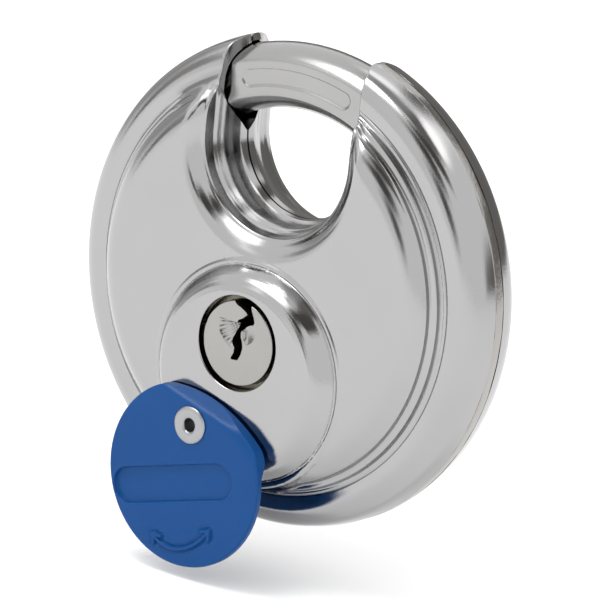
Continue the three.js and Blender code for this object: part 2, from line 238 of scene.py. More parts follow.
# the drawing die leaves shallow steps that run round the wall
wall[:, 1] += 0.012 * np.sin(wall[:, 0] * 4.3 + 0.8) * np.clip(wall[:, 0] - 1.6, 0, 1) * np.clip(6.6 - wall[:, 0], 0, 1) + 0.008 * np.sin(wall[:, 0] * 5.7) * np.clip(wall[:, 0] - 1.8, 0, 1) * np.clip(6.4 - wall[:, 0], 0, 1)
collar = smooth_curve([(0, 10.7), (10.3, 10.7), (11.05, 10.56), (11.6, 10.25), (12.1, 9.78), (12.6, 9.12), (13.0, 8.5), (13.16, 8.14), (13.24, 8.09), (13.34, 8.16), (13.5, 8.18), (13.75, 8.12), (14.0, 7.97), (14.1, 7.5), (14.4, 6.6), (15.2, 4.0)], 0.045)
COLLAR_AT, COLLAR_R = (0.0, -10.45), 13.35
WINDOW_AT, WINDOW_R = (0.0, -6.35), 5.8


def wall_d(z):
    return np.interp(z, wall[:, 0], wall[:, 1])


def spine(x, y):
    """Distance from the opening's middle line, and the direction away from it."""
    dy = np.minimum(y - HOLE_Y, 0)
    d = np.hypot(x, dy)
    return d, np.stack([x, dy], -1) / np.maximum(d, 1e-9)[..., None]


def outer_base(q, with_collar):
    s = np.hypot(q[:, 0], q[:, 1])
    u = q / np.maximum(s, 1e-9)[:, None]
    r = prof_r(s)
    x, y = r * u[:, 0], r * u[:, 1]
    z = prof_z(s, x, y)
    d, away = spine(x, y)
    z = meet(z, np.interp(d, flare[:, 0], flare[:, 1]), y, r)
    if with_collar:
        rho = np.hypot(x - COLLAR_AT[0], y - COLLAR_AT[1])
        z = np.where(rho < 16, smax(z, np.interp(rho, collar[:, 0], collar[:, 1]), 0.1), z)
    return s, u, x, y, z, d, away


def lip_gap(z, d):
    return d - wall_d(z - EDGE)


def outer(q, with_collar):
    s, u, x, y, z, d, away = outer_base(q, with_collar)
    z = z - np.where(d < 14, fillet(lip_gap(z, d), EDGE), 0)
    if with_collar:
        w = np.hypot(x - WINDOW_AT[0], y - WINDOW_AT[1]) - WINDOW_R
        z = z - np.where(w < 1, fillet(w, 0.14), 0)
    return np.stack([x, y, z], 1)


def inner(q, with_collar):
    s, u, x, y, z, d, away = outer_base(q, with_collar)
    r_in = np.interp(s, ks, [k[0] for k in INNER_KEYS])
    z_in = np.interp(s, ks, [k[1] for k in INNER_KEYS])
    z_in = np.minimum(z_in, np.interp(d, flare[:, 0], flare[:, 1]) - 1.0)
    if with_collar:
        rho = np.hypot(x - COLLAR_AT[0], y - COLLAR_AT[1])
        z_in = np.where(rho < 13.0, np.maximum(z_in, z - 1.0), z_in)
    gap = np.maximum(lip_gap(z, d), 0)
    shift = (np.exp(-gap / 1.2) * (gap < 6) * 1.0)[:, None] * away
    p = np.stack([r_in * u[:, 0], r_in * u[:, 1]], 1) + shift
    over = np.minimum(1.0, r_in / np.maximum(np.hypot(p[:, 0], p[:, 1]), 1e-9))
    p = np.where((s > 21)[:, None], p * over[:, None], p)
    return np.stack([p[:, 0], p[:, 1], z_in], 1)


BAND = np.array([float(np.interp(v, prof[:, 0], PS)) for v in (23.6, 25.9)])
RING_S = np.unique(np.round(np.concatenate([np.arange(19.95, S_END - 0.12, 0.27), np.arange(BAND[0], BAND[1], 0.085), np.arange(BAND[1] + 2.2, S_END - 0.1, 0.2), [S_END]]), 4))
RING_S = RING_S[np.concatenate([[True], np.diff(RING_S) > 0.06])]
RING_S[-1] = S_END


def lip_at(s, side=1):
    r = float(prof_r(s))
    d = 10.6
    for _ in range(40):
        y = math.sqrt(max(r * r - d * d, 0))
        zc = prof_z(s, np.array(side * d), np.array(y))
        z = float(meet(np.array(zc), np.interp(d, flare[:, 0], flare[:, 1]), y, r))
        d = 0.5 * d + 0.5 * float(wall_d(z - EDGE))
    return d, math.sqrt(max(r * r - d * d, 0)), z


def lip_loop():
    """The lip's points (x, y, s) from the right end of the rim, round the bottom, to the left end."""
    right, left = [], []
    for s in RING_S[::-1]:
        d, y, z = lip_at(s)
        if y > HOLE_Y + 0.05:
            right.append((d, y, s))
        d, y, z = lip_at(s, -1)
        if y > HOLE_Y + 0.05:
            left.append((-d, y, s))
    d = lip_at(19.0)[0]
    n = 132
    low = [(d * math.cos(a), HOLE_Y + d * math.sin(a), None) for a in -np.pi * np.arange(0, n + 1) / n]
    low = [(x, y, math.hypot(x, y)) for x, y, _ in low]
    return right + low + left[::-1]


LIP = lip_loop()
RING_THETA = np.arange(0, 2 * np.pi, 2 * np.pi / 372)


def shell_top(with_collar):
    lip_q = np.array([(x * s / math.hypot(x, y), y * s / math.hypot(x, y)) for x, y, s in LIP])
    a1 = math.atan2(lip_q[0, 1], lip_q[0, 0])
    a0 = math.atan2(lip_q[-1, 1], lip_q[-1, 0])
    span = (a1 - a0) % (2 * np.pi)
    n = 372
    th = a0 + span * np.arange(1, n) / n
    ring = S_END * np.stack([np.cos(th), np.sin(th)], 1)
    loops = [(len(lip_q) + len(ring), True)]
    pts = [lip_q, ring]
    if with_collar:
        th = np.arange(0, 2 * np.pi, 2 * np.pi / 150)
        win = np.array(WINDOW_AT) + WINDOW_R * np.stack([np.cos(th), np.sin(th)], 1)
        pts.append(win)
        loops.append((len(win), True))
    pts = np.concatenate(pts)

    def ok(q, gap):
        s, u, x, y, z, d, away = outer_base(q, with_collar)
        return lip_gap(z, d) > gap

    steps = [(S_END if s is None else s) for s in RING_S[:-1]]
    rings = []
    for k, s in enumerate(steps):
        t = RING_THETA
        rings.append(np.stack([s * np.cos(t), s * np.sin(t)], 1))
    rings = np.concatenate(rings)
    s = np.hypot(rings[:, 0], rings[:, 1])
    high = rings[(s > 23.6)]
    high = high[ok(high, 0.02)]
    high = thin_out(high, pts, 0.2)
    # fine rows that follow the lip
    rows = []
    for off in (0.03, 0.08, 0.15, 0.25, 0.38, 0.52, 0.68, 0.86, 1.06, 1.3, 1.58, 1.9, 2.25, 2.65, 3.1, 3.6, 4.3):
        for x, y, ls in LIP:
            d, away = spine(np.array([x]), np.array([y]))
            px, py = x + away[0, 0] * off, y + away[0, 1] * off
            r = math.hypot(px, py)
            sv = float(np.interp(r, prof[:, 0], PS))
            if off > 0.3 and sv > 23.75:
                continue
            if sv < S_END - 0.05:
                rows.append((px * sv / r, py * sv / r))
    rows = np.array(rows)
    rows = thin_out(rows, pts, 0.02)
    rows = thin_out(rows, high, 0.1)
    pts = np.concatenate([pts, rows])
    high = thin_out(high, rows, 0.06)
    pts = np.concatenate([pts, high])
    if with_collar:
        fam = []
        for rho in np.concatenate([np.arange(9.8, 13.0, 0.2), [13.02, 13.08, 13.13, 13.18, 13.23, 13.28, 13.34, 13.42, 13.52, 13.66, 13.8, 13.92, 14.02, 14.15, 14.6]]):
            t = np.arange(0, 2 * np.pi, 2 * np.pi / 190)
            fam.append(np.array(COLLAR_AT) + rho * np.stack([np.cos(t), np.sin(t)], 1))
        for rho in (WINDOW_R + 0.02, WINDOW_R + 0.05, WINDOW_R + 0.09, WINDOW_R + 0.14, WINDOW_R + 0.3, WINDOW_R + 0.7):
            t = np.arange(0, 2 * np.pi, 2 * np.pi / 150)
            fam.append(np.array(WINDOW_AT) + rho * np.stack([np.cos(t), np.sin(t)], 1))
        fam = np.concatenate(fam)
        r = np.hypot(fam[:, 0], fam[:, 1])
        sv = np.interp(r, prof[:, 0], PS)
        fam = fam * (sv / np.maximum(r, 1e-9))[:, None]
        fam = fam[ok(fam, 0.3)]
        fam = thin_out(fam, pts, 0.05)
        pts = np.concatenate([pts, fam])
    low = rings[s <= 23.6]
    low = low[ok(low, 0.3)]
    low = thin_out(low, pts, 0.17)
    pts = np.concatenate([pts, low])
    grid = hexgrid(-20.2, 20.2, -20.2, 20.2, 1.0)
    grid = grid[np.hypot(grid[:, 0], grid[:, 1]) < 19.8]
    grid = grid[ok(grid, 0.4)]
    if with_collar:
        grid = grid[np.hypot(grid[:, 0] - WINDOW_AT[0], grid[:, 1] - WINDOW_AT[1]) > WINDOW_R + 0.3]
    grid = thin_out(grid, pts, 0.35)
    pts = np.concatenate([pts, grid])

    def inside(c):
        s, u, x, y, z, d, away = outer_base(c, with_collar)
        good = (lip_gap(z, d) > -0.004) & (s < S_END + 0.01)
        if with_collar:
            good &= np.hypot(x - WINDOW_AT[0], y - WINDOW_AT[1]) > WINDOW_R - 0.004
        return good

    return triangulate(pts, loops, inside), len(LIP)


def wall_point(q):
    """The opening's wall: q = (distance along the U, z)."""
    t, z = q[:, 0], q[:, 1]
    d = wall_d(z)
    a = np.clip(t / 10.0, -np.pi / 2, np.pi / 2)
    up = np.maximum(np.abs(t) - 5 * np.pi, 0)
    return np.stack([d * np.sin(a), HOLE_Y - d * np.cos(a) * (np.abs(t) < 5 * np.pi) + up, z], 1)


def wall_inner(q, lip_z):
    t, z = q[:, 0], q[:, 1]
    d = wall_d(z) + 1.0
    a = np.clip(t / 10.0, -np.pi / 2, np.pi / 2)
    up = np.maximum(np.abs(t) - 5 * np.pi, 0)
    out = np.stack([d * np.sin(a), HOLE_Y - d * np.cos(a) * (np.abs(t) < 5 * np.pi) + up, z], 1)
    r = np.hypot(wall_d(z), HOLE_Y + up)
    y = np.sqrt(np.maximum(r * r - d * d, 1.0))
    far = np.abs(t) > 5 * np.pi + 1.0
    out[:, 1] = np.where(far, y, out[:, 1])
    out[:, 2] = np.minimum(out[:, 2], np.interp(np.hypot(out[:, 0], out[:, 1]), [k[0] for k in INNER_KEYS], [k[1] for k in INNER_KEYS]) - 0.03)
    return out


PORT_R, PORT_TUBE = 24.8, 4.15


PORT_FOOT = 18.75


def port_low(z):
    """Where the port's lower edge lies at height z: the round cut, or the pointed foot below it."""
    z = abs(z)
    round_ = PORT_R - math.sqrt(max(PORT_TUBE**2 - z * z, 0.0))
    foot = PORT_FOOT + 0.72 * z + 0.115 * z * z
    return min(round_, foot)


def port_outline():
    """Right-hand port in the wall's chart, from its outer foot over the top to its inner foot."""
    pts = []

    def chart(r, z):
        return (5 * math.pi + math.sqrt(r * r - float(wall_d(z)) ** 2) - HOLE_Y, z)

    for a in np.linspace(0.0, np.pi / 2, 31):
        r, z = PORT_R + PORT_TUBE * math.cos(a), PORT_TUBE * math.sin(a)
        if z > 0.8:
            pts.append(chart(r, z))
    for a in np.linspace(np.pi / 2, np.pi * 0.93, 30)[1:]:
        z = PORT_TUBE * math.sin(a)
        pts.append(chart(port_low(z), z))
    for z in np.arange(pts[-1][1] - 0.1, SEAM + 0.03, -0.1):
        pts.append(chart(port_low(z), z))
    first = chart(PORT_R + math.sqrt(PORT_TUBE**2 - 0.8**2), 0.8)
    return [first] + pts + [chart(port_low(SEAM), SEAM)]


def lip_chart(top_xyz):
    out = []
    for x, y, z in top_xyz:
        if y > HOLE_Y:
            t = 5 * math.pi + (y - HOLE_Y)
        else:
            t = 10.0 * math.atan2(abs(x), HOLE_Y - y)
        out.append((math.copysign(t, x), z))
    return np.array(out)


def build_shell(name, with_collar, side, mats):
    (q, tris), n_lip = shell_top(with_collar)
    po = outer(q, with_collar)
    no = surface_normals(lambda k: outer(k, with_collar), q)
    pi = inner(q, with_collar)
    # the lip's vertices in the top patch, by place
    lip_q = np.array([(x * s / math.hypot(x, y), y * s / math.hypot(x, y)) for x, y, s in LIP])
    kd = KDTree(len(q))
    for i, p in enumerate(q):
        kd.insert((p[0], p[1], 0), i)
    kd.balance()
    lip_idx = [kd.find((p[0], p[1], 0))[1] for p in lip_q]
    chart = lip_chart(po[lip_idx])
    port = port_outline()
    low_t = np.linspace(port[-1][0], -port[-1][0], 170)[1:-1]
    loop = list(map(tuple, chart)) + [(-t, z) for t, z in port] + [(t, SEAM) for t in low_t[::-1]] + [(t, z) for t, z in port[::-1]]
    loop = np.array(loop)
    # rows inside the wall
    rows = []
    for z in np.concatenate([[0.22, 0.32, 0.5, 0.75, 1.0, 1.15, 1.25, 1.35, 1.45, 1.6], np.arange(1.85, 6.2, 0.33)]):
        t = np.arange(-28, 28, 0.36)
        rows.append(np.stack([t, np.full(len(t), z)], 1))
    rows = np.concatenate(rows)
    from_loop = loop
    poly = loop

    def in_poly(c):
        x, y = c[:, 0], c[:, 1]
        hit = np.zeros(len(c), bool)
        a, b = poly, np.roll(poly, -1, 0)
        for (x1, y1), (x2, y2) in zip(a, b):
            if (y1 > y2) != (y1 < y2) and y1 == y2:
                continue
            cond = ((y1 > y) != (y2 > y)) & (x < (x2 - x1) * (y - y1) / ((y2 - y1) if y2 != y1 else 1e-12) + x1)
            hit ^= cond
        return hit

    rows = rows[in_poly(rows)]
    rows = thin_out(rows, loop, 0.12)
    wq, wt = triangulate(np.concatenate([loop, rows]), [(len(loop), True)], in_poly)
    wo = wall_point(wq)
    wn = surface_normals(wall_point, wq)
    wi = wall_inner(wq, None)
    # the wall's chart runs the other way round, so its triangles may need turning
    f = wt[len(wt) // 2]
    g = np.cross(wo[f[1]] - wo[f[0]], wo[f[2]] - wo[f[0]])
    mid = wo[f].mean(0)
    d, away = spine(mid[None, 0], mid[None, 1])
    if g[0] * away[0, 0] + g[1] * away[0, 1] > 0:
        wt = wt[:, ::-1]
    flip = np.sign((wn[:, 0] * spine(wo[:, 0], wo[:, 1])[1][:, 0] + wn[:, 1] * spine(wo[:, 0], wo[:, 1])[1][:, 1]))
    wn = wn * -np.where(flip == 0, 1, flip)[:, None]
    # weld the wall's top row onto the lip
    kd = KDTree(len(chart))
    for i, p in enumerate(chart):
        kd.insert((p[0], p[1], 0), i)
    kd.balance()
    index = np.zeros(len(wq), int)
    extra = []
    for i, p in enumerate(wq):
        co, k, dist = kd.find((p[0], p[1], 0))
        if dist < 1e-5:
            index[i] = lip_idx[k]
        else:
            index[i] = len(q) + len(extra)
            extra.append(i)
    vo = np.concatenate([po, wo[extra]])
    vi = np.concatenate([pi, wi[extra]])
    # drop the top patch's slivers beyond the lip: they use an edge the same way round as the wall does
    wall_edges = {(a, b) for f in index[wt].tolist() for a, b in zip(f, f[1:] + f[:1])}
    tris = np.array([f for f in tris.tolist() if not any(e in wall_edges for e in zip(f, f[1:] + f[:1]))])
    to = np.concatenate([tris, index[wt]])
    ln = np.concatenate([no[tris], wn[wt]])
    n = len(vo)
    ti = to[:, ::-1] + n
    v = np.concatenate([vo, vi])
    inn = vertex_normals(v, ti)
    sides, side_n = [], []
    for a, b in open_edges(to):
        for t in ((b, a, a + n), (b, a + n, b + n)):
            sides.append(t)
    sides = np.array(sides)
    fn = unit(np.cross(v[sides[:, 1]] - v[sides[:, 0]], v[sides[:, 2]] - v[sides[:, 0]]))
    allt = np.concatenate([to, ti, sides])
    alln = np.concatenate([ln, inn[ti], np.repeat(fn[:, None], 3, 1)])
    # the inside faces take the second material, a darker steel that paints the closed interior's shade
    idx = np.concatenate([np.zeros(len(to)), np.ones(len(ti)), np.zeros(len(sides))]).astype(int)
    if side < 0:
        v = v * [1, 1, -1]
        alln = alln * [1, 1, -1]
        allt = allt[:, ::-1]
        alln = alln[:, ::-1]
    return make_piece(name, v, allt, alln, mats, idx)


# ------------------------------------------------------------------ swept and turned pieces
def grid_piece(name, p, closed_u, closed_v, mats, normals=None, flip=False):
    """A piece from a grid p[i, j] of points; closed rows and columns join up."""
    nu, nv = p.shape[:2]
    idx = np.arange(nu * nv).reshape(nu, nv)
    iu = np.arange(nu if closed_u else nu - 1)
    iv = np.arange(nv if closed_v else nv - 1)
    a = idx[np.ix_(iu, iv)]
    b = idx[np.ix_((iu + 1) % nu, iv)]
    c = idx[np.ix_((iu + 1) % nu, (iv + 1) % nv)]
    d = idx[np.ix_(iu, (iv + 1) % nv)]
    t = np.concatenate([np.stack([a, b, c], -1).reshape(-1, 3), np.stack([a, c, d], -1).reshape(-1, 3)])
    v = p.reshape(-1, 3)
    return v, (t[:, ::-1] if flip else t)


def finish_grid(name, v, t, mats, crease=50.0, mat_index=None):
    """Normals that stay smooth except where faces meet at more than crease degrees."""
    fn = np.cross(v[t[:, 1]] - v[t[:, 0]], v[t[:, 2]] - v[t[:, 0]])
    fu = unit(fn)
    order = np.argsort(t.ravel(), kind="stable")
    corner_face = np.repeat(np.arange(len(t)), 3)[order]
    verts = t.ravel()[order]
    start = np.searchsorted(verts, np.arange(len(v)))
    end = np.searchsorted(verts, np.arange(len(v)), side="right")
    out = np.zeros((len(t) * 3, 3))
    cosc = math.cos(math.radians(crease))
    for k in range(len(v)):
        s, e = start[k], end[k]
        if e <= s:
            continue
        f = corner_face[s:e]
        m = (fu[f] @ fu[f].T) > cosc
        n = m @ fn[f]
        out[order[s:e]] = n
    return make_piece(name, v, t, unit(out).reshape(-1, 3, 3), mats, mat_index)


def turned(name, centre, profile, n, mats, crease=40.0, wobble=None):
    """A closed ring of revolution about z through centre, from a closed (r, z) profile."""
    th = np.arange(n) * 2 * np.pi / n
    pr = np.asarray(profile, float)
    p = np.stack([centre[0] + pr[None, :, 0] * np.cos(th)[:, None], centre[1] + pr[None, :, 0] * np.sin(th)[:, None], np.broadcast_to(pr[None, :, 1], (n, len(pr)))], -1)
    if wobble is not None:
        p = wobble(p, th)
    v, t = grid_piece(name, p, True, True, mats)
    c = v[t].mean(1)
    vol = np.einsum("ij,ij->i", c, np.cross(v[t[:, 1]] - v[t[:, 0]], v[t[:, 2]] - v[t[:, 0]])).sum()
    if vol < 0:
        t = t[:, ::-1]
    return finish_grid(name, v, t, mats, crease)


def round_loop(pts, sigma, step):
    """A closed outline with its corners rounded off, sampled every step."""
    p = np.asarray(pts, float)
    q = np.concatenate([p, p[:1]])
    s = np.concatenate([[0], np.cumsum(np.linalg.norm(np.diff(q, axis=0), axis=1))])
    m = int(s[-1] / 0.02)
    t = np.linspace(0, s[-1], m, endpoint=False)
    d = np.stack([np.interp(t, s, q[:, k]) for k in range(2)], 1)
    h = s[-1] / m
    w = np.fft.fftfreq(m, h)
    g = np.exp(-2 * (np.pi * w * sigma) ** 2)
    d = np.stack([np.fft.ifft(np.fft.fft(d[:, k]) * g).real for k in range(2)], 1)
    n = max(8, int(round(s[-1] / step)))
    return d[(np.arange(n) * m / n).astype(int)]


# ------------------------------------------------------------------ shackle
SHACKLE_R, SHACKLE_TUBE, SHACKLE_FLAT = 24.8, 4.0, 3.4
PILL_HALF, PILL_FROM, PILL_TO, PILL_DEEP = 1.0, 71.5, 109.0, 0.16


def build_shackle(mats):
    a0 = math.asin(SHACKLE_FLAT / SHACKLE_TUBE)
    arc_out = [(SHACKLE_TUBE * math.cos(a), SHACKLE_TUBE * math.sin(a)) for a in np.linspace(a0, -a0, 40)]
    arc_in = [(-x, -y) for x, y in arc_out]
    ring = round_loop(arc_out + arc_in, 0.2, 0.02)
    start = np.argmin(np.hypot(ring[:, 0] + 1.9, ring[:, 1] - SHACKLE_FLAT))
    ring = np.roll(ring, -start, 0)
    n = len(ring)
    # fine across the front flat, coarser round the rest
    front = np.where((ring[:, 1] > SHACKLE_FLAT - 0.25) & (np.abs(ring[:, 0]) < 2.4))[0]
    pick = sorted(set(list(front[::6]) + list(range(0, n, 16))))
    sec = ring[pick]
    th = np.unique(np.round(np.concatenate([np.arange(-54.6, 69.5, 1.25), np.arange(69.5, 111.0, 0.3), np.arange(111.0, 124.6, 1.0), [-54.8, 124.8]]), 3))
    rows = []
    for a in th:
        r = math.radians(a)
        z = sec[:, 1].copy()
        lo, hi = math.radians(PILL_FROM), math.radians(PILL_TO)
        along = np.maximum(np.maximum(lo - r, r - hi) * SHACKLE_R + PILL_HALF, 0)
        rim = np.hypot(along, sec[:, 0]) - PILL_HALF
        z = np.where((sec[:, 1] > SHACKLE_FLAT - 0.3), z - PILL_DEEP * smooth01(0.5 - rim / 0.28), z)
        rad = SHACKLE_R + sec[:, 0]
        rows.append(np.stack([rad * math.cos(r), rad * math.sin(r), z], 1))
    def end_row(a, scale):
        r = math.radians(a)
        s = sec * scale
        rad = SHACKLE_R + s[:, 0]
        return np.stack([rad * math.cos(r), rad * math.sin(r), s[:, 1]], 1)
    rows = [end_row(-55.0, 0.02), end_row(-55.0, 0.5), end_row(-55.0, 0.95)] + rows + [end_row(125.0, 0.95), end_row(125.0, 0.5), end_row(125.0, 0.02)]
    p = np.array(rows)
    v, t = grid_piece("shackle_bar", p, False, True, mats)
    nu, nv = p.shape[:2]
    c0, c1 = len(v), len(v) + 1
    v = np.concatenate([v, p[0].mean(0)[None], p[-1].mean(0)[None]])
    j = np.arange(nv)
    caps = np.concatenate([np.stack([np.full(nv, c0), (j + 1) % nv, j], 1), np.stack([np.full(nv, c1), (nu - 1) * nv + j, (nu - 1) * nv + (j + 1) % nv], 1)])
    t = np.concatenate([t, caps])
    c = v[t].mean(1)
    if np.einsum("ij,ij->i", c, np.cross(v[t[:, 1]] - v[t[:, 0]], v[t[:, 2]] - v[t[:, 0]])).sum() < 0:
        t = t[:, ::-1]
    return finish_grid("shackle_bar", v, t, mats, 60)


# ------------------------------------------------------------------ plug with its keyway
PLUG_AT, PLUG_R, PLUG_FACE, PLUG_BACK = (0.0, -6.35), 5.15, 10.5, -2.8
KEYWAY_RIGHT = [(1.5, -1.75), (1.6, -2.1), (1.75, -2.5), (2.05, -3.45), (1.8, -3.85), (1.25, -3.97), (0.66, -4.33), (0.36, -4.9), (0.4, -5.5), (0.68, -6.15), (0.78, -6.8), (0.62, -7.6), (0.2, -8.42)]
KEYWAY_LEFT = [(-0.8, -8.5), (-0.84, -8.3), (-0.47, -7.6), (-0.47, -7.05), (-1.02, -6.5), (-1.06, -6.0), (-0.9, -5.4), (-0.62, -4.8), (-0.34, -4.0), (-0.22, -3.52), (0.42, -3.18), (0.86, -2.7), (0.74, -2.3), (0.1, -1.95), (-0.55, -1.72)]


def plug_depth(x, y):
    """How far the milled dish beside the keyway lies below the plug's face."""
    px, py = x - 0.15, y + 3.95
    rho, a = np.hypot(px, py), np.degrees(np.arctan2(py, px))
    left = (a > 177) | (a < -95)
    right = (a < 62) & (a > -62)
    lr = 3.3
    dl = 0.85 * (1 - (rho / lr) ** 2) + 0.045 * np.sin(np.radians(a) * 34) * np.clip(1 - rho / lr, 0, 1) * 3
    da = np.where(a > 0, 180 - a, a + 180)
    wall_l = smooth01(np.where(a > 0, (a - 177) / 3, 1.0) * 1.0)
    dl = np.where(left & (rho < lr), np.maximum(dl, 0) * wall_l, 0)
    rr = 2.68
    dr = np.where((rho < rr) & (px > 0), 0.6 * (1 - (rho / rr) ** 2) * smooth01((76 - np.abs(a)) / 22), 0)
    return np.maximum(dl, dr)


def build_plug(mats):
    cx, cy = PLUG_AT
    aR = math.atan2(KEYWAY_RIGHT[0][1] - cy, KEYWAY_RIGHT[0][0] - cx)
    xl = -1.02
    aL = math.acos((xl - cx) / PLUG_R)
    circ = [(cx + PLUG_R * math.cos(a), cy + PLUG_R * math.sin(a)) for a in np.linspace(aL, aR + 2 * np.pi, 170)]
    key = KEYWAY_RIGHT[1:] + KEYWAY_LEFT
    kk = np.array([circ[-1]] + key + [circ[0]])
    s = np.concatenate([[0], np.cumsum(np.linalg.norm(np.diff(kk, axis=0), axis=1))])
    t = np.arange(0, s[-1], 0.02)
    dense = np.stack([np.interp(t, s, kk[:, k]) for k in range(2)], 1)
    n = 9
    k = np.exp(-0.5 * (np.arange(-n, n + 1) * 0.02 / 0.07) ** 2)
    k /= k.sum()
    pad = np.concatenate([np.repeat(dense[:1], n, 0), dense, np.repeat(dense[-1:], n, 0)])
    dense = np.stack([np.convolve(pad[:, c], k, "valid") for c in range(2)], 1)
    key = dense[6:-6:7]
    loop = np.concatenate([np.array(circ), key])
    poly = loop

    def in_poly(c):
        x, y = c[:, 0], c[:, 1]
        hit = np.zeros(len(c), bool)
        for (x1, y1), (x2, y2) in zip(poly, np.roll(poly, -1, 0)):
            if y1 == y2:
                continue
            hit ^= ((y1 > y) != (y2 > y)) & (x < (x2 - x1) * (y - y1) / (y2 - y1) + x1)
        return hit

    rim = []
    for r in (PLUG_R - 0.03, PLUG_R - 0.07, PLUG_R - 0.12, PLUG_R - 0.2, PLUG_R - 0.4):
        a = np.arange(0, 2 * np.pi, 2 * np.pi / 170)
        rim.append(np.stack([cx + r * np.cos(a), cy + r * np.sin(a)], 1))
    rim = np.concatenate(rim)
    g = hexgrid(-5.2, 5.2, -11.6, -1.0, 0.13)
    inner_g = g[np.hypot(g[:, 0] - cx, g[:, 1] - cy) < PLUG_R - 0.45]
    pts = loop
    rim = thin_out(rim[in_poly(rim)], pts, 0.025)
    pts = np.concatenate([pts, rim])
    inner_g = inner_g[in_poly(inner_g)]
    inner_g = thin_out(inner_g, pts, 0.07)
    q, tris = triangulate(np.concatenate([pts, inner_g]), [(len(loop), True)], in_poly)

    def face(q):
        r = PLUG_R - np.hypot(q[:, 0] - cx, q[:, 1] - cy)
        z = PLUG_FACE - plug_depth(q[:, 0], q[:, 1]) - fillet(np.maximum(r, 0), 0.12)
        return np.stack([q[:, 0], q[:, 1], z], 1)

    top = face(q)
    nrm = surface_normals(face, q, 0.02)
    bottom = np.stack([q[:, 0], q[:, 1], np.full(len(q), PLUG_BACK)], 1)
    n = len(q)
    v = np.concatenate([top, bottom])
    rad = np.hypot(q[:, 0] - cx, q[:, 1] - cy) > PLUG_R - 0.005
    side_t, side_n, side_m = [], [], []
    e = open_edges(tris)
    acc = np.zeros((n, 3))
    for a, b in e:
        dn = unit(np.array([[q[b, 1] - q[a, 1], q[a, 0] - q[b, 0], 0.0]]))[0]
        acc[a] += dn
        acc[b] += dn
    acc = unit(acc)
    for a, b in e:
        dn = unit(np.array([[q[b, 1] - q[a, 1], q[a, 0] - q[b, 0], 0.0]]))[0]
        na = acc[a] if acc[a] @ dn > 0.75 else dn
        nb = acc[b] if acc[b] @ dn > 0.75 else dn
        side_t += [(b, a, a + n), (b, a + n, b + n)]
        side_n += [(nb, na, na), (nb, na, nb)]
        m = 0 if (rad[a] and rad[b]) else 1
        side_m += [m, m]
    t = np.concatenate([tris, tris[:, ::-1] + n, np.array(side_t)])
    ln = np.concatenate([nrm[tris], np.broadcast_to([0, 0, -1.0], (len(tris), 3, 3)), np.array(side_n)])
    # side faces off the plug's round edge, the keyway's walls, take the second material: brass brown darkened with
    # painted shade
    mi = np.concatenate([np.zeros(len(tris)), np.zeros(len(tris)), np.array(side_m)]).astype(int)
    return make_piece("plug_with_keyway", v, t, ln, mats, mi)


# ------------------------------------------------------------------ keyhole cover
COVER_AT, COVER_R, COVER_LOW, COVER_TOP = (-4.5, -23.4), 11.27, 11.08, 13.08
COVER_HOLE_AT, COVER_HOLE_R = (-4.0, -17.0), 1.4
COVER_TURN = math.radians(15.3)
PILL_MID, PILL_LEN, PILL_WIDE = (-5.93, -24.75), 9.05, 2.15
ARROW = [(-8.15, -31.55), (-7.2, -32.3), (-6.1, -32.68), (-4.9, -32.68), (-3.7, -32.42), (-2.5, -31.85), (-1.35, -31.0), (-0.35, -29.95), (0.2, -29.2)]
ARROW_WIDE, ARROW_HIGH = 0.22, 0.20


def segment_gap(x, y, a, b):
    ax, ay, bx, by = a[0], a[1], b[0], b[1]
    t = np.clip(((x - ax) * (bx - ax) + (y - ay) * (by - ay)) / ((bx - ax) ** 2 + (by - ay) ** 2), 0, 1)
    return np.hypot(x - ax - t * (bx - ax), y - ay - t * (by - ay))


def arrow_lines():
    """The curved double-headed arrow as short straight lines."""
    p = np.array(ARROW)
    s = np.concatenate([[0], np.cumsum(np.linalg.norm(np.diff(p, axis=0), axis=1))])
    t = np.linspace(0, s[-1], 25)
    c = np.polyfit(s, p[:, 0], 4), np.polyfit(s, p[:, 1], 4)
    q = np.stack([np.polyval(c[0], t), np.polyval(c[1], t)], 1)
    lines = [(tuple(q[i]), tuple(q[i + 1])) for i in range(len(q) - 1)]
    for tip, back in ((q[0], q[2]), (q[-1], q[-3])):
        d = unit((back - tip)[None])[0]
        for turn_by in (0.62, -0.62):
            c_, s_ = math.cos(turn_by), math.sin(turn_by)
            e = tip + 1.15 * np.array([c_ * d[0] - s_ * d[1], s_ * d[0] + c_ * d[1]])
            lines.append((tuple(tip), tuple(e)))
    return lines


ARROW_LINES = arrow_lines()


def pill_gap(x, y):
    c, s = math.cos(COVER_TURN), math.sin(COVER_TURN)
    u, v = (x - PILL_MID[0]) * c + (y - PILL_MID[1]) * s, -(x - PILL_MID[0]) * s + (y - PILL_MID[1]) * c
    return np.hypot(np.maximum(np.abs(u) - (PILL_LEN - PILL_WIDE), 0), v) - PILL_WIDE


CUT_A, CUT_B, CUT_BULGE = np.array([-8.45, -13.05]), np.array([3.46, -16.54]), 1.12
CUT_ALONG = (CUT_B - CUT_A) / np.linalg.norm(CUT_B - CUT_A)
CUT_OUT = np.array([-CUT_ALONG[1], CUT_ALONG[0]])
CUT_HALF = np.linalg.norm(CUT_B - CUT_A) / 2


def cut_coords(x, y):
    dx, dy = x - (CUT_A[0] + CUT_B[0]) / 2, y - (CUT_A[1] + CUT_B[1]) / 2
    return dx * CUT_ALONG[0] + dy * CUT_ALONG[1], dx * CUT_OUT[0] + dy * CUT_OUT[1]


def cut_gap(x, y):
    """Distance inside the nearly straight side beside the rivet (its footprint bulges a little)."""
    t, u = cut_coords(x, y)
    return CUT_BULGE * (1 - (t / CUT_HALF) ** 2) - u


def side_coords(x, y):
    """Distance beyond the second fold, which carries the sloped band on round the right side."""
    return (x - 0.58) * 0.62 + (y + 15.04) * 0.785


def cover_gap(x, y):
    return np.minimum(COVER_R - np.hypot(x - COVER_AT[0], y - COVER_AT[1]), cut_gap(x, y))


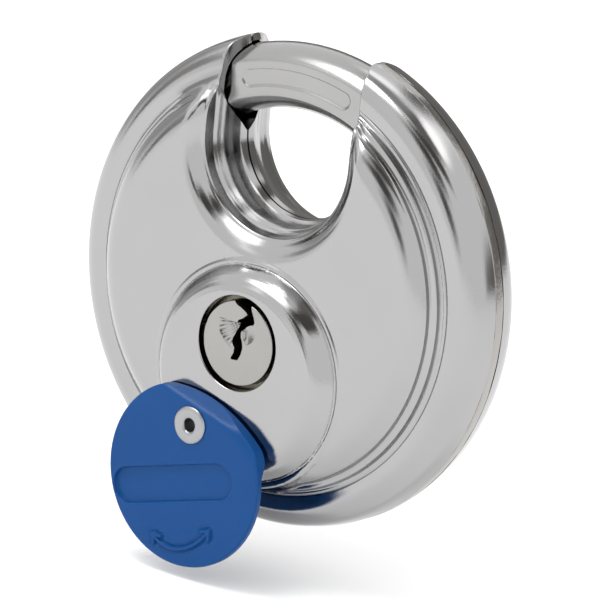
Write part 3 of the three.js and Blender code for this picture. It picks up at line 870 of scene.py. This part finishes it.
def cover_face(q):
    x, y = q[:, 0], q[:, 1]
    r = COVER_R - np.hypot(x - COVER_AT[0], y - COVER_AT[1])
    t, u = cut_coords(x, y)
    # a gently crowned face with a soft edge
    z = COVER_TOP - fillet(np.maximum(r, 0), 0.3) - 0.04 * smooth01((2.0 - r) / 2.0)
    ramp = COVER_TOP - 1.52 * u - 0.10
    z = smin(smin(z, ramp, 0.5), COVER_TOP - 0.8 * side_coords(x, y) - 0.1, 0.5)
    z = np.maximum(z, COVER_LOW + 0.14)
    z = z - 0.5 * smooth01(0.5 - pill_gap(x, y) / 0.24) + 0.03 * np.exp(-((pill_gap(x, y) - 0.24) / 0.15) ** 2)
    g = np.min([segment_gap(x, y, a, b) for a, b in ARROW_LINES], axis=0)
    z = z - 0.2 * np.exp(-(np.maximum(g - 0.1, 0) / 0.33) ** 2) + (ARROW_HIGH + 0.2) * smooth01((ARROW_WIDE + 0.09 - g) / 0.18)
    h = np.hypot(x - COVER_HOLE_AT[0], y - COVER_HOLE_AT[1]) - COVER_HOLE_R
    return np.stack([x, y, z - fillet(np.maximum(h, 0), 0.1)], 1)


def build_cover(mats):
    cx, cy = COVER_AT
    th = np.arange(0, 2 * np.pi, 2 * np.pi / 720)
    rr = []
    for a in th:
        lo_, hi_ = 5.0, COVER_R
        c, s = math.cos(a), math.sin(a)
        if cut_gap(cx + hi_ * c, cy + hi_ * s) < 0:
            for _ in range(40):
                m = (lo_ + hi_) / 2
                if cut_gap(cx + m * c, cy + m * s) > 0:
                    lo_ = m
                else:
                    hi_ = m
        rr.append(hi_)
    rr = np.array(rr)
    k = np.exp(-0.5 * (np.arange(-9, 10) / 3.0) ** 2)
    rr = np.convolve(np.concatenate([rr[-9:], rr, rr[:9]]), k / k.sum(), "valid")
    rr = np.minimum(rr, COVER_R)
    th, rr = th[::2], rr[::2]
    outline = np.stack([cx + rr * np.cos(th), cy + rr * np.sin(th)], 1)
    th2 = np.arange(0, 2 * np.pi, 2 * np.pi / 64)
    hole = np.stack([COVER_HOLE_AT[0] + COVER_HOLE_R * np.cos(th2), COVER_HOLE_AT[1] + COVER_HOLE_R * np.sin(th2)], 1)
    pts = np.concatenate([outline, hole])
    fam = []
    for g in (0.03, 0.07, 0.12, 0.18, 0.25, 0.33, 0.45, 0.65, 0.9, 1.2, 1.55, 1.95, 2.4, 2.9):
        sel = np.ones(len(th), bool) if g < 0.7 else (np.degrees(th) > 335) | (np.degrees(th) < 125)
        fam.append(np.stack([cx + (rr[sel] - g) * np.cos(th[sel]), cy + (rr[sel] - g) * np.sin(th[sel])], 1))
    for g in (0.04, 0.1, 0.2, 0.45):
        fam.append(np.stack([COVER_HOLE_AT[0] + (COVER_HOLE_R + g) * np.cos(th2), COVER_HOLE_AT[1] + (COVER_HOLE_R + g) * np.sin(th2)], 1))
    c, s = math.cos(COVER_TURN), math.sin(COVER_TURN)
    for g in (-0.4, -0.2, -0.13, -0.06, 0.0, 0.06, 0.13, 0.2, 0.28, 0.36, 0.5):
        w, hl = PILL_WIDE + g, PILL_LEN - PILL_WIDE
        line = [(u, w) for u in np.arange(-hl, hl, 0.3)] + [(hl + w * math.sin(a), w * math.cos(a)) for a in np.linspace(0, np.pi, 26)]
        line += [(u, -w) for u in np.arange(hl, -hl, -0.3)] + [(-hl - w * math.sin(a), -w * math.cos(a)) for a in np.linspace(0, np.pi, 26)]
        line = np.array(line)
        fam.append(np.stack([PILL_MID[0] + line[:, 0] * c - line[:, 1] * s, PILL_MID[1] + line[:, 0] * s + line[:, 1] * c], 1))
    fam = np.concatenate(fam)
    fam = fam[cover_gap(fam[:, 0], fam[:, 1]) > 0.02]
    fam = thin_out(fam, pts, 0.02)
    pts = np.concatenate([pts, fam])
    fine = hexgrid(-10, 2, -34, -27.8, 0.075)
    g = np.min([segment_gap(fine[:, 0], fine[:, 1], a, b) for a, b in ARROW_LINES], axis=0)
    fine = fine[g < 0.42]
    fine = fine[cover_gap(fine[:, 0], fine[:, 1]) > 0.4]
    pts = np.concatenate([pts, thin_out(fine, pts, 0.04)])
    grid = hexgrid(cx - 12, cx + 12, cy - 12, cy + 12, 0.5)
    grid = grid[cover_gap(grid[:, 0], grid[:, 1]) > 0.7]
    grid = grid[np.hypot(grid[:, 0] - COVER_HOLE_AT[0], grid[:, 1] - COVER_HOLE_AT[1]) > COVER_HOLE_R + 0.3]
    pts = np.concatenate([pts, thin_out(grid, pts, 0.2)])

    def inside(c):
        return (np.hypot(c[:, 0] - cx, c[:, 1] - cy) < np.interp(np.arctan2(c[:, 1] - cy, c[:, 0] - cx) % (2 * np.pi), np.append(th, 2 * np.pi), np.append(rr, rr[0])) + 0.002) & (
            np.hypot(c[:, 0] - COVER_HOLE_AT[0], c[:, 1] - COVER_HOLE_AT[1]) > COVER_HOLE_R - 0.002)

    q, tris = triangulate(pts, [(len(outline), True), (len(hole), True)], inside)
    top = cover_face(q)
    nrm = surface_normals(cover_face, q, 0.02)
    # the back edge is undercut all round except by the rivet
    rad = np.hypot(q[:, 0] - cx, q[:, 1] - cy)
    t, u = cut_coords(q[:, 0], q[:, 1])
    under = 1.12 * smooth01((rad - 9.7) / 1.5) * smooth01((-u + 0.1) / 1.6) * smooth01((0.1 - side_coords(q[:, 0], q[:, 1])) / 1.6)
    low = np.stack([q[:, 0], q[:, 1], COVER_LOW + under], 1)
    n = len(q)
    v = np.concatenate([top, low])
    tl = tris[:, ::-1] + n
    ln_low = vertex_normals(v, tl)[n:]
    on_hole = np.hypot(q[:, 0] - COVER_HOLE_AT[0], q[:, 1] - COVER_HOLE_AT[1]) < COVER_HOLE_R + 0.01
    side_t, side_n = [], []
    e = open_edges(tris)
    acc = np.zeros((n, 3))
    for a, b in e:
        dn = np.array([q[b, 1] - q[a, 1], q[a, 0] - q[b, 0], 0.0])
        acc[a] += dn
        acc[b] += dn
    acc = unit(acc)
    for a, b in e:
        side_t += [(b, a, a + n), (b, a + n, b + n)]
        side_n += [(acc[b], acc[a], acc[a]), (acc[b], acc[a], acc[b])]
    tt = np.concatenate([tris, tl, np.array(side_t)])
    ln = np.concatenate([nrm[tris], ln_low[tl - n], np.array(side_n)])
    return make_piece("cover_disc", v, tt, ln, mats)


def build_eyelet(mats):
    # a rolled tubular rivet: curled flange in front, straight barrel, flat tail
    prof_ = [(0.78, 9.02), (0.78, 12.9), (0.8, 13.1), (0.86, 13.26), (0.98, 13.38), (1.2, 13.43), (1.45, 13.45), (1.75, 13.44), (2.02, 13.4), (2.2, 13.33), (2.29, 13.24), (2.3, 13.18), (2.24, 13.14),
             (2.05, 13.13), (1.4, 13.13), (1.32, 13.0), (1.32, 9.32), (1.45, 9.3), (2.0, 9.3), (2.1, 9.22), (2.1, 9.08), (2.02, 9.0), (1.2, 9.0), (0.86, 9.0)]

    def wobble(p, th):
        r = 1 + 0.006 * np.sin(3 * th + 0.7) + 0.004 * np.sin(7 * th)
        p[:, 8:13, 0] = COVER_HOLE_AT[0] + (p[:, 8:13, 0] - COVER_HOLE_AT[0]) * r[:, None] * 0.992
        p[:, 8:13, 1] = COVER_HOLE_AT[1] + (p[:, 8:13, 1] - COVER_HOLE_AT[1]) * r[:, None] * 0.992
        return p

    return turned("eyelet_rivet", COVER_HOLE_AT, prof_, 72, mats, 42, wobble)


def build_weld(mats):
    """The welded seam band round the rim, ground nearly flush, with a slightly uneven line."""
    x_end = 9.2
    a0 = math.atan2(math.sqrt(30.0**2 - x_end**2), x_end)
    n = 560
    th = np.linspace(a0, a0 - (2 * a0 + np.pi - 2 * (a0 - np.pi / 2)) if False else a0 - (np.pi + 2 * a0), n)
    rng = np.random.default_rng(7)
    k = np.arange(n)
    def wave(scale, amp):
        w = rng.normal(size=n)
        g = np.exp(-0.5 * ((np.arange(-40, 41)) / scale) ** 2)
        w = np.convolve(w, g / g.sum(), "same")
        return amp * w / max(w.std(), 1e-9)
    up, down = wave(5, 0.018), wave(5, 0.018)
    dip = np.clip(wave(3, 0.02), -0.05, 0.05)
    sec = [(29.06, -0.74), (29.85, -0.74), (29.93, -0.7), (29.955, -0.6), (29.965, -0.3), (29.965, 0.0), (29.965, 0.3), (29.955, 0.6), (29.93, 0.7), (29.85, 0.74), (29.06, 0.74), (29.06, 0.0)]
    sec = np.array(sec)
    p = np.zeros((n, len(sec), 3))
    for j, (r, z) in enumerate(sec):
        rr = np.full(n, r) + (dip - 0.03 if 29.9 < r else 0)
        zz = np.full(n, z) + np.where(z > 0.5, np.minimum(up, 0.015), 0) + np.where(z < -0.5, np.maximum(down, -0.015), 0)
        p[:, j] = np.stack([rr * np.cos(th), rr * np.sin(th), zz], 1)
    v, t = grid_piece("weld_seam", p, False, True, mats)
    nv = len(sec)
    v = np.concatenate([v, p[0].mean(0)[None], p[-1].mean(0)[None]])
    j = np.arange(nv)
    caps = np.concatenate([np.stack([np.full(nv, n * nv), (j + 1) % nv, j], 1), np.stack([np.full(nv, n * nv + 1), (n - 1) * nv + j, (n - 1) * nv + (j + 1) % nv], 1)])
    t = np.concatenate([t, caps])
    c = v[t].mean(1)
    if np.einsum("ij,ij->i", c, np.cross(v[t[:, 1]] - v[t[:, 0]], v[t[:, 2]] - v[t[:, 0]])).sum() < 0:
        t = t[:, ::-1]
    return finish_grid("weld_seam", v, t, mats, 45)


# ------------------------------------------------------------------ materials
def material(name, base, metallic, rough, grain=None, grain_bump=0.0, rough_var=0.05, tint=None, coat=0.0, streak=None, wear=0.0, ior=None, sss=0.0):
    """Principled material with procedural roughness, colour and bump in the object's own coordinates."""
    m = bpy.data.materials.new(name)
    m.use_nodes = True
    nt = m.node_tree
    n, l = nt.nodes, nt.links
    b = n["Principled BSDF"]
    b.inputs["Metallic"].default_value = metallic
    b.inputs["Base Color"].default_value = (*base, 1)
    if coat:
        b.inputs["Coat Weight"].default_value = coat
        b.inputs["Coat Roughness"].default_value = 0.15
    if ior:
        b.inputs["IOR"].default_value = ior
        b.inputs["Specular IOR Level"].default_value = 0.22
    co = n.new("ShaderNodeTexCoord")
    big = n.new("ShaderNodeTexNoise")
    big.inputs["Scale"].default_value = 90.0
    big.inputs["Detail"].default_value = 4.0
    l.new(co.outputs["Object"], big.inputs["Vector"])
    fine = n.new("ShaderNodeTexNoise")
    fine.inputs["Scale"].default_value = grain or 2500.0
    fine.inputs["Detail"].default_value = 3.0
    fine.inputs["Roughness"].default_value = 0.6
    l.new(co.outputs["Object"], fine.inputs["Vector"])
    mixr = n.new("ShaderNodeMath")
    mixr.operation = "ADD"
    l.new(big.outputs["Fac"], mixr.inputs[0])
    l.new(fine.outputs["Fac"], mixr.inputs[1])
    rr = n.new("ShaderNodeMapRange")
    rr.inputs["From Min"].default_value = 0.7
    rr.inputs["From Max"].default_value = 1.3
    rr.inputs["To Min"].default_value = max(0.02, rough - rough_var)
    rr.inputs["To Max"].default_value = rough + rough_var
    l.new(mixr.outputs[0], rr.inputs["Value"])
    l.new(rr.outputs["Result"], b.inputs["Roughness"])
    if tint:
        mc = n.new("ShaderNodeMixRGB")
        mc.inputs["Color1"].default_value = (*base, 1)
        mc.inputs["Color2"].default_value = (*tint, 1)
        mf = n.new("ShaderNodeMapRange")
        mf.inputs["From Min"].default_value = 0.35
        mf.inputs["From Max"].default_value = 0.7
        l.new(big.outputs["Fac"], mf.inputs["Value"])
        l.new(mf.outputs["Result"], mc.inputs["Fac"])
        l.new(mc.outputs["Color"], b.inputs["Base Color"])
    height = fine.outputs["Fac"]
    if streak:
        # fine polishing lines that run round the case's middle
        sep = n.new("ShaderNodeSeparateXYZ")
        l.new(co.outputs["Object"], sep.inputs["Vector"])
        xx = n.new("ShaderNodeMath"); xx.operation = "MULTIPLY"
        l.new(sep.outputs["X"], xx.inputs[0]); l.new(sep.outputs["X"], xx.inputs[1])
        zz = n.new("ShaderNodeMath"); zz.operation = "MULTIPLY_ADD"
        l.new(sep.outputs["Z"], zz.inputs[0]); l.new(sep.outputs["Z"], zz.inputs[1]); l.new(xx.outputs[0], zz.inputs[2])
        sq = n.new("ShaderNodeMath"); sq.operation = "SQRT"
        l.new(zz.outputs[0], sq.inputs[0])
        cb = n.new("ShaderNodeCombineXYZ")
        l.new(sq.outputs[0], cb.inputs["X"]); l.new(sep.outputs["Y"], cb.inputs["Y"])
        st = n.new("ShaderNodeTexNoise")
        st.inputs["Scale"].default_value = streak
        st.inputs["Detail"].default_value = 2.0
        l.new(cb.outputs[0], st.inputs["Vector"])
        ad = n.new("ShaderNodeMath"); ad.operation = "MULTIPLY_ADD"
        ad.inputs[1].default_value = 0.12
        l.new(st.outputs["Fac"], ad.inputs[0]); l.new(fine.outputs["Fac"], ad.inputs[2])
        height = ad.outputs[0]
    bp = n.new("ShaderNodeBump")
    bp.inputs["Strength"].default_value = grain_bump
    bp.inputs["Distance"].default_value = 0.0001
    l.new(height, bp.inputs["Height"])
    l.new(bp.outputs["Normal"], b.inputs["Normal"])
    if sss:
        b.inputs["Subsurface Weight"].default_value = sss
        b.inputs["Subsurface Radius"].default_value = (0.0004, 0.0006, 0.001)
    return m


STEEL = material("polished_steel", (0.366, 0.363, 0.364), 1.0, 0.085, grain=7000, grain_bump=0.09, rough_var=0.03, tint=(0.356, 0.353, 0.355), streak=900)
# darker, warmer copy of the case steel for the shells' inside faces: painted shade for the closed interior seen through
# the opening and ports
STEEL_SHADED_INSIDE = material("steel_inside_painted_shade", (0.16, 0.15, 0.135), 1.0, 0.42, grain=2400, grain_bump=0.25, rough_var=0.1, tint=(0.11, 0.1, 0.09))
SHACKLE = material("tumbled_steel", (0.342, 0.339, 0.337), 1.0, 0.12, grain=6500, grain_bump=0.13, rough_var=0.05, tint=(0.322, 0.319, 0.317))
WELD = material("weld_steel_mat", (0.37, 0.362, 0.35), 1.0, 0.2, grain=2600, grain_bump=0.3, rough_var=0.07, tint=(0.33, 0.315, 0.30))
MECH = material("mechanism_steel_mat", (0.36, 0.35, 0.34), 1.0, 0.38, grain=2200, grain_bump=0.3, rough_var=0.1, tint=(0.28, 0.27, 0.26))
BRASS = material("machined_brass", (0.50, 0.36, 0.16), 1.0, 0.3, grain=2600, grain_bump=0.2, rough_var=0.08, tint=(0.4, 0.28, 0.12))
NICKEL = material("nickel_face", (0.32, 0.315, 0.305), 1.0, 0.2, grain=3800, grain_bump=0.08, rough_var=0.05, tint=(0.30, 0.295, 0.285))
# keyway walls: the cut brass's brown, darkened well below the brass colour as painted shade for the narrow slot
KEYWAY_BRASS_AND_SHADE = material("keyway_brass_and_painted_shade", (0.12, 0.085, 0.045), 1.0, 0.4, grain=3000, grain_bump=0.25, rough_var=0.1, tint=(0.06, 0.045, 0.03))
PIN = material("pin_brass_mat", (0.5, 0.37, 0.17), 1.0, 0.28, grain=2600, grain_bump=0.15, rough_var=0.06, tint=(0.4, 0.3, 0.14))
SPRING = material("spring_wire", (0.42, 0.42, 0.42), 1.0, 0.3, grain=3000, grain_bump=0.15, rough_var=0.08, tint=(0.36, 0.36, 0.36))
BLUE = material("blue_plastic", (0.001, 0.053, 0.200), 0.0, 0.33, grain=2600, grain_bump=0.16, rough_var=0.05, tint=(0.001, 0.049, 0.188), ior=1.45)
EYELET = material("eyelet_zinc", (0.345, 0.35, 0.36), 1.0, 0.34, grain=2600, grain_bump=0.2, rough_var=0.08, tint=(0.34, 0.345, 0.355))

# ------------------------------------------------------------------ build
pieces = [
    (build_shell("front_case_shell", True, 1, [STEEL, STEEL_SHADED_INSIDE]), "case", "front_shell", "case_steel"),
    (build_shell("back_case_shell", False, -1, [STEEL, STEEL_SHADED_INSIDE]), "case", "back_shell", "case_steel"),
    (build_weld([WELD]), "case", "weld_band", "weld_steel"),
    (build_shackle([SHACKLE]), "shackle_swing", "shackle", "shackle_steel"),
    (build_plug([NICKEL, KEYWAY_BRASS_AND_SHADE]), "cylinder_plug", "plug", "plug_nickel"),
    (build_cover([BLUE]), "cover", "keyhole_cover", "cover_plastic"),
    (build_eyelet([EYELET]), "case", "cover_eyelet", "eyelet_metal"),
]
for piece, body, node, slot in pieces:
    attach(piece, body)
    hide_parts(node)
# the cylinder housing, seen only in the narrow gap round the plug inside the collar's window, takes a dark warm copy of
# the mechanism steel: painted shade for the gap
RING = material("window_ring_painted_shade", (0.17, 0.155, 0.125), 1.0, 0.34, grain=2600, grain_bump=0.25, rough_var=0.08, tint=(0.12, 0.105, 0.08))
KEEP = {"shackle_carrier": MECH, "carrier_pin": MECH, "pivot_post": MECH, "cylinder_housing": RING, "chamber_cap": BRASS, "crank_lever": MECH, "crank_pin": MECH, "cover_washer": EYELET}
for i in range(1, 6):
    KEEP["key_pin_%d" % i] = PIN
    KEEP["driver_pin_%d" % i] = PIN
    KEEP["chamber_spring_%d" % i] = SPRING
for name, mat in KEEP.items():
    o = NODES[name]
    o.data.materials.clear()
    o.data.materials.append(mat)

# ------------------------------------------------------------------ floor, light and camera
scene = bpy.context.scene
M = np.array([[0.79205583, 0.09009636, -0.60376337], [-0.21933426, 0.96500408, -0.1437345], [0.56968416, 0.24627174, 0.78409833]])
TX, TY, DIST, LENS = -0.518, 2.49, 662.3, 5518.3 * 36 / 600


def floor_piece():
    me = bpy.data.meshes.new("floor")
    s, z = 6.0, -0.0362
    me.from_pydata([(-s, -s, z), (s, -s, z), (s, s, z), (-s, s, z)], [], [(0, 1, 2, 3)])
    o = bpy.data.objects.new("floor", me)
    scene.collection.objects.link(o)
    m = bpy.data.materials.new("pale_floor")
    m.use_nodes = True
    b = m.node_tree.nodes["Principled BSDF"]
    b.inputs["Base Color"].default_value = (0.93, 0.93, 0.93, 1)
    b.inputs["Roughness"].default_value = 0.9
    b.inputs["Emission Color"].default_value = (1, 1, 1, 1)
    b.inputs["Emission Strength"].default_value = 0.06
    me.materials.append(m)
    return o


def card(name, toward, wide, high, colour, strength, soft=0.5, roll=0.0, dist=2.2):
    """A soft-edged card that faces the lock from a direction in the lock's frame; only reflections see it."""
    d = unit(np.array([toward], float))[0]
    c = Vector(turn(d)) * dist
    me = bpy.data.meshes.new(name)
    w, h = math.tan(math.radians(wide / 2)) * dist, math.tan(math.radians(high / 2)) * dist
    me.from_pydata([(-w, -h, 0), (w, -h, 0), (w, h, 0), (-w, h, 0)], [], [(0, 1, 2, 3)])
    o = bpy.data.objects.new(name, me)
    scene.collection.objects.link(o)
    o.location = c
    o.rotation_mode = "QUATERNION"
    o.rotation_quaternion = (-c).to_track_quat("-Z", "Y") @ Matrix.Rotation(math.radians(roll), 4, "Z").to_quaternion()
    m = bpy.data.materials.new(name)
    m.use_nodes = True
    nt = m.node_tree
    n, l = nt.nodes, nt.links
    n.remove(n["Principled BSDF"])
    out = n["Material Output"]
    em = n.new("ShaderNodeEmission")
    em.inputs["Color"].default_value = (*colour, 1)
    em.inputs["Strength"].default_value = strength
    tr = n.new("ShaderNodeBsdfTransparent")
    mx = n.new("ShaderNodeMixShader")
    co = n.new("ShaderNodeTexCoord")
    mp = n.new("ShaderNodeVectorMath")
    mp.operation = "MULTIPLY"
    mp.inputs[1].default_value = (1 / w, 1 / h, 0)
    l.new(co.outputs["Object"], mp.inputs[0])
    ln = n.new("ShaderNodeVectorMath")
    ln.operation = "LENGTH"
    l.new(mp.outputs[0], ln.inputs[0])
    mr = n.new("ShaderNodeMapRange")
    mr.interpolation_type = "SMOOTHSTEP"
    mr.inputs["From Min"].default_value = 1.0
    mr.inputs["From Max"].default_value = 1.0 - soft
    l.new(ln.outputs["Value"], mr.inputs["Value"])
    l.new(mr.outputs["Result"], mx.inputs["Fac"])
    l.new(tr.outputs[0], mx.inputs[1])
    l.new(em.outputs[0], mx.inputs[2])
    l.new(mx.outputs[0], out.inputs["Surface"])
    me.materials.append(m)
    o.visible_camera = False
    o.visible_diffuse = False
    o.visible_shadow = False
    return o


floor_piece()
world = bpy.data.worlds.new("studio")
scene.world = world
world.use_nodes = True
bg = world.node_tree.nodes["Background"]
bg.inputs["Color"].default_value = (1, 1, 1, 1)
bg.inputs["Strength"].default_value = 1.3


def area(name, toward, size, power, dist=1.2):
    d = unit(np.array([toward], float))[0]
    li = bpy.data.lights.new(name, "AREA")
    li.shape = "DISK"
    li.size = size
    li.energy = power
    o = bpy.data.objects.new(name, li)
    scene.collection.objects.link(o)
    c = Vector(turn(d)) * dist
    o.location = c
    o.rotation_mode = "QUATERNION"
    o.rotation_quaternion = (-c).to_track_quat("-Z", "Y")
    return o




def compass(az, el):
    a, e = math.radians(az), math.radians(el)
    return (math.sin(a) * math.cos(e), math.sin(e), math.cos(a) * math.cos(e))


WARM = (1.0, 0.965, 0.92)
card("dark_flag_main", compass(47, 51), 50, 25, WARM, 0.13, soft=0.3)
card("dark_flag_high", compass(96, 67), 56, 30, WARM, 0.27, soft=0.32)
card("dark_flag_mid", compass(15, 32), 27, 28, WARM, 0.12, soft=0.4)
card("dark_flag_low", compass(8, 12), 18, 22, WARM, 0.13, soft=0.45)
card("grey_top", compass(120, 84), 50, 36, (1, 1, 1), 0.55, soft=0.6)
card("grey_flag_left", compass(-100, 14), 70, 44, (1.0, 1.0, 1.0), 0.6, soft=0.6)
card("dark_flag_behind", compass(180, 7), 128, 50, WARM, 0.26, soft=0.22, dist=1.95)
card("dark_flag_rear", (-0.57, -0.225, -0.79), 50, 46, WARM, 0.22, soft=0.4, dist=0.115)
card("grey_flag_low_left", compass(-62, 12), 30, 24, (1.0, 0.98, 0.95), 0.55, soft=0.6)
card("softbox_over", compass(-26, 60), 46, 34, (1.0, 1.0, 1.0), 3.4, soft=0.28, dist=2.0)
card("softbox_strip", compass(-31, 32), 12, 44, (1.0, 1.0, 1.0), 2.0, soft=0.6, dist=2.05)
card("softbox_back_right", compass(135, 55), 32, 20, (1.0, 1.0, 1.0), 2.8, soft=0.4, dist=1.8)
card("dark_flag_back", compass(174, 38), 22, 44, WARM, 0.22, soft=0.4)
card("dark_flag_left", compass(-66, 0), 15, 60, WARM, 0.3, soft=0.6)
card("softbox_back_left", compass(-166, 62), 24, 18, (1.0, 1.0, 1.0), 2.4, soft=0.5, dist=2.0)
area("key_light", compass(-20, 66), 0.45, 4.6)

cam_data = bpy.data.cameras.new("camera")
cam = bpy.data.objects.new("camera", cam_data)
scene.collection.objects.link(cam)
cam_data.sensor_width = 36.0
cam_data.lens = LENS
cam_data.clip_start, cam_data.clip_end = 0.05, 50.0
pos = M.T @ np.array([-TX, -TY, DIST])
axes = [turn(M[k]) for k in range(3)]
mat = Matrix(((axes[0][0], axes[1][0], axes[2][0], 0), (axes[0][1], axes[1][1], axes[2][1], 0), (axes[0][2], axes[1][2], axes[2][2], 0), (0, 0, 0, 1)))
mat.translation = Vector(place(pos))
cam.matrix_world = mat
scene.camera = cam
scene.view_settings.view_transform = "Standard"
scene.view_settings.look = "None"
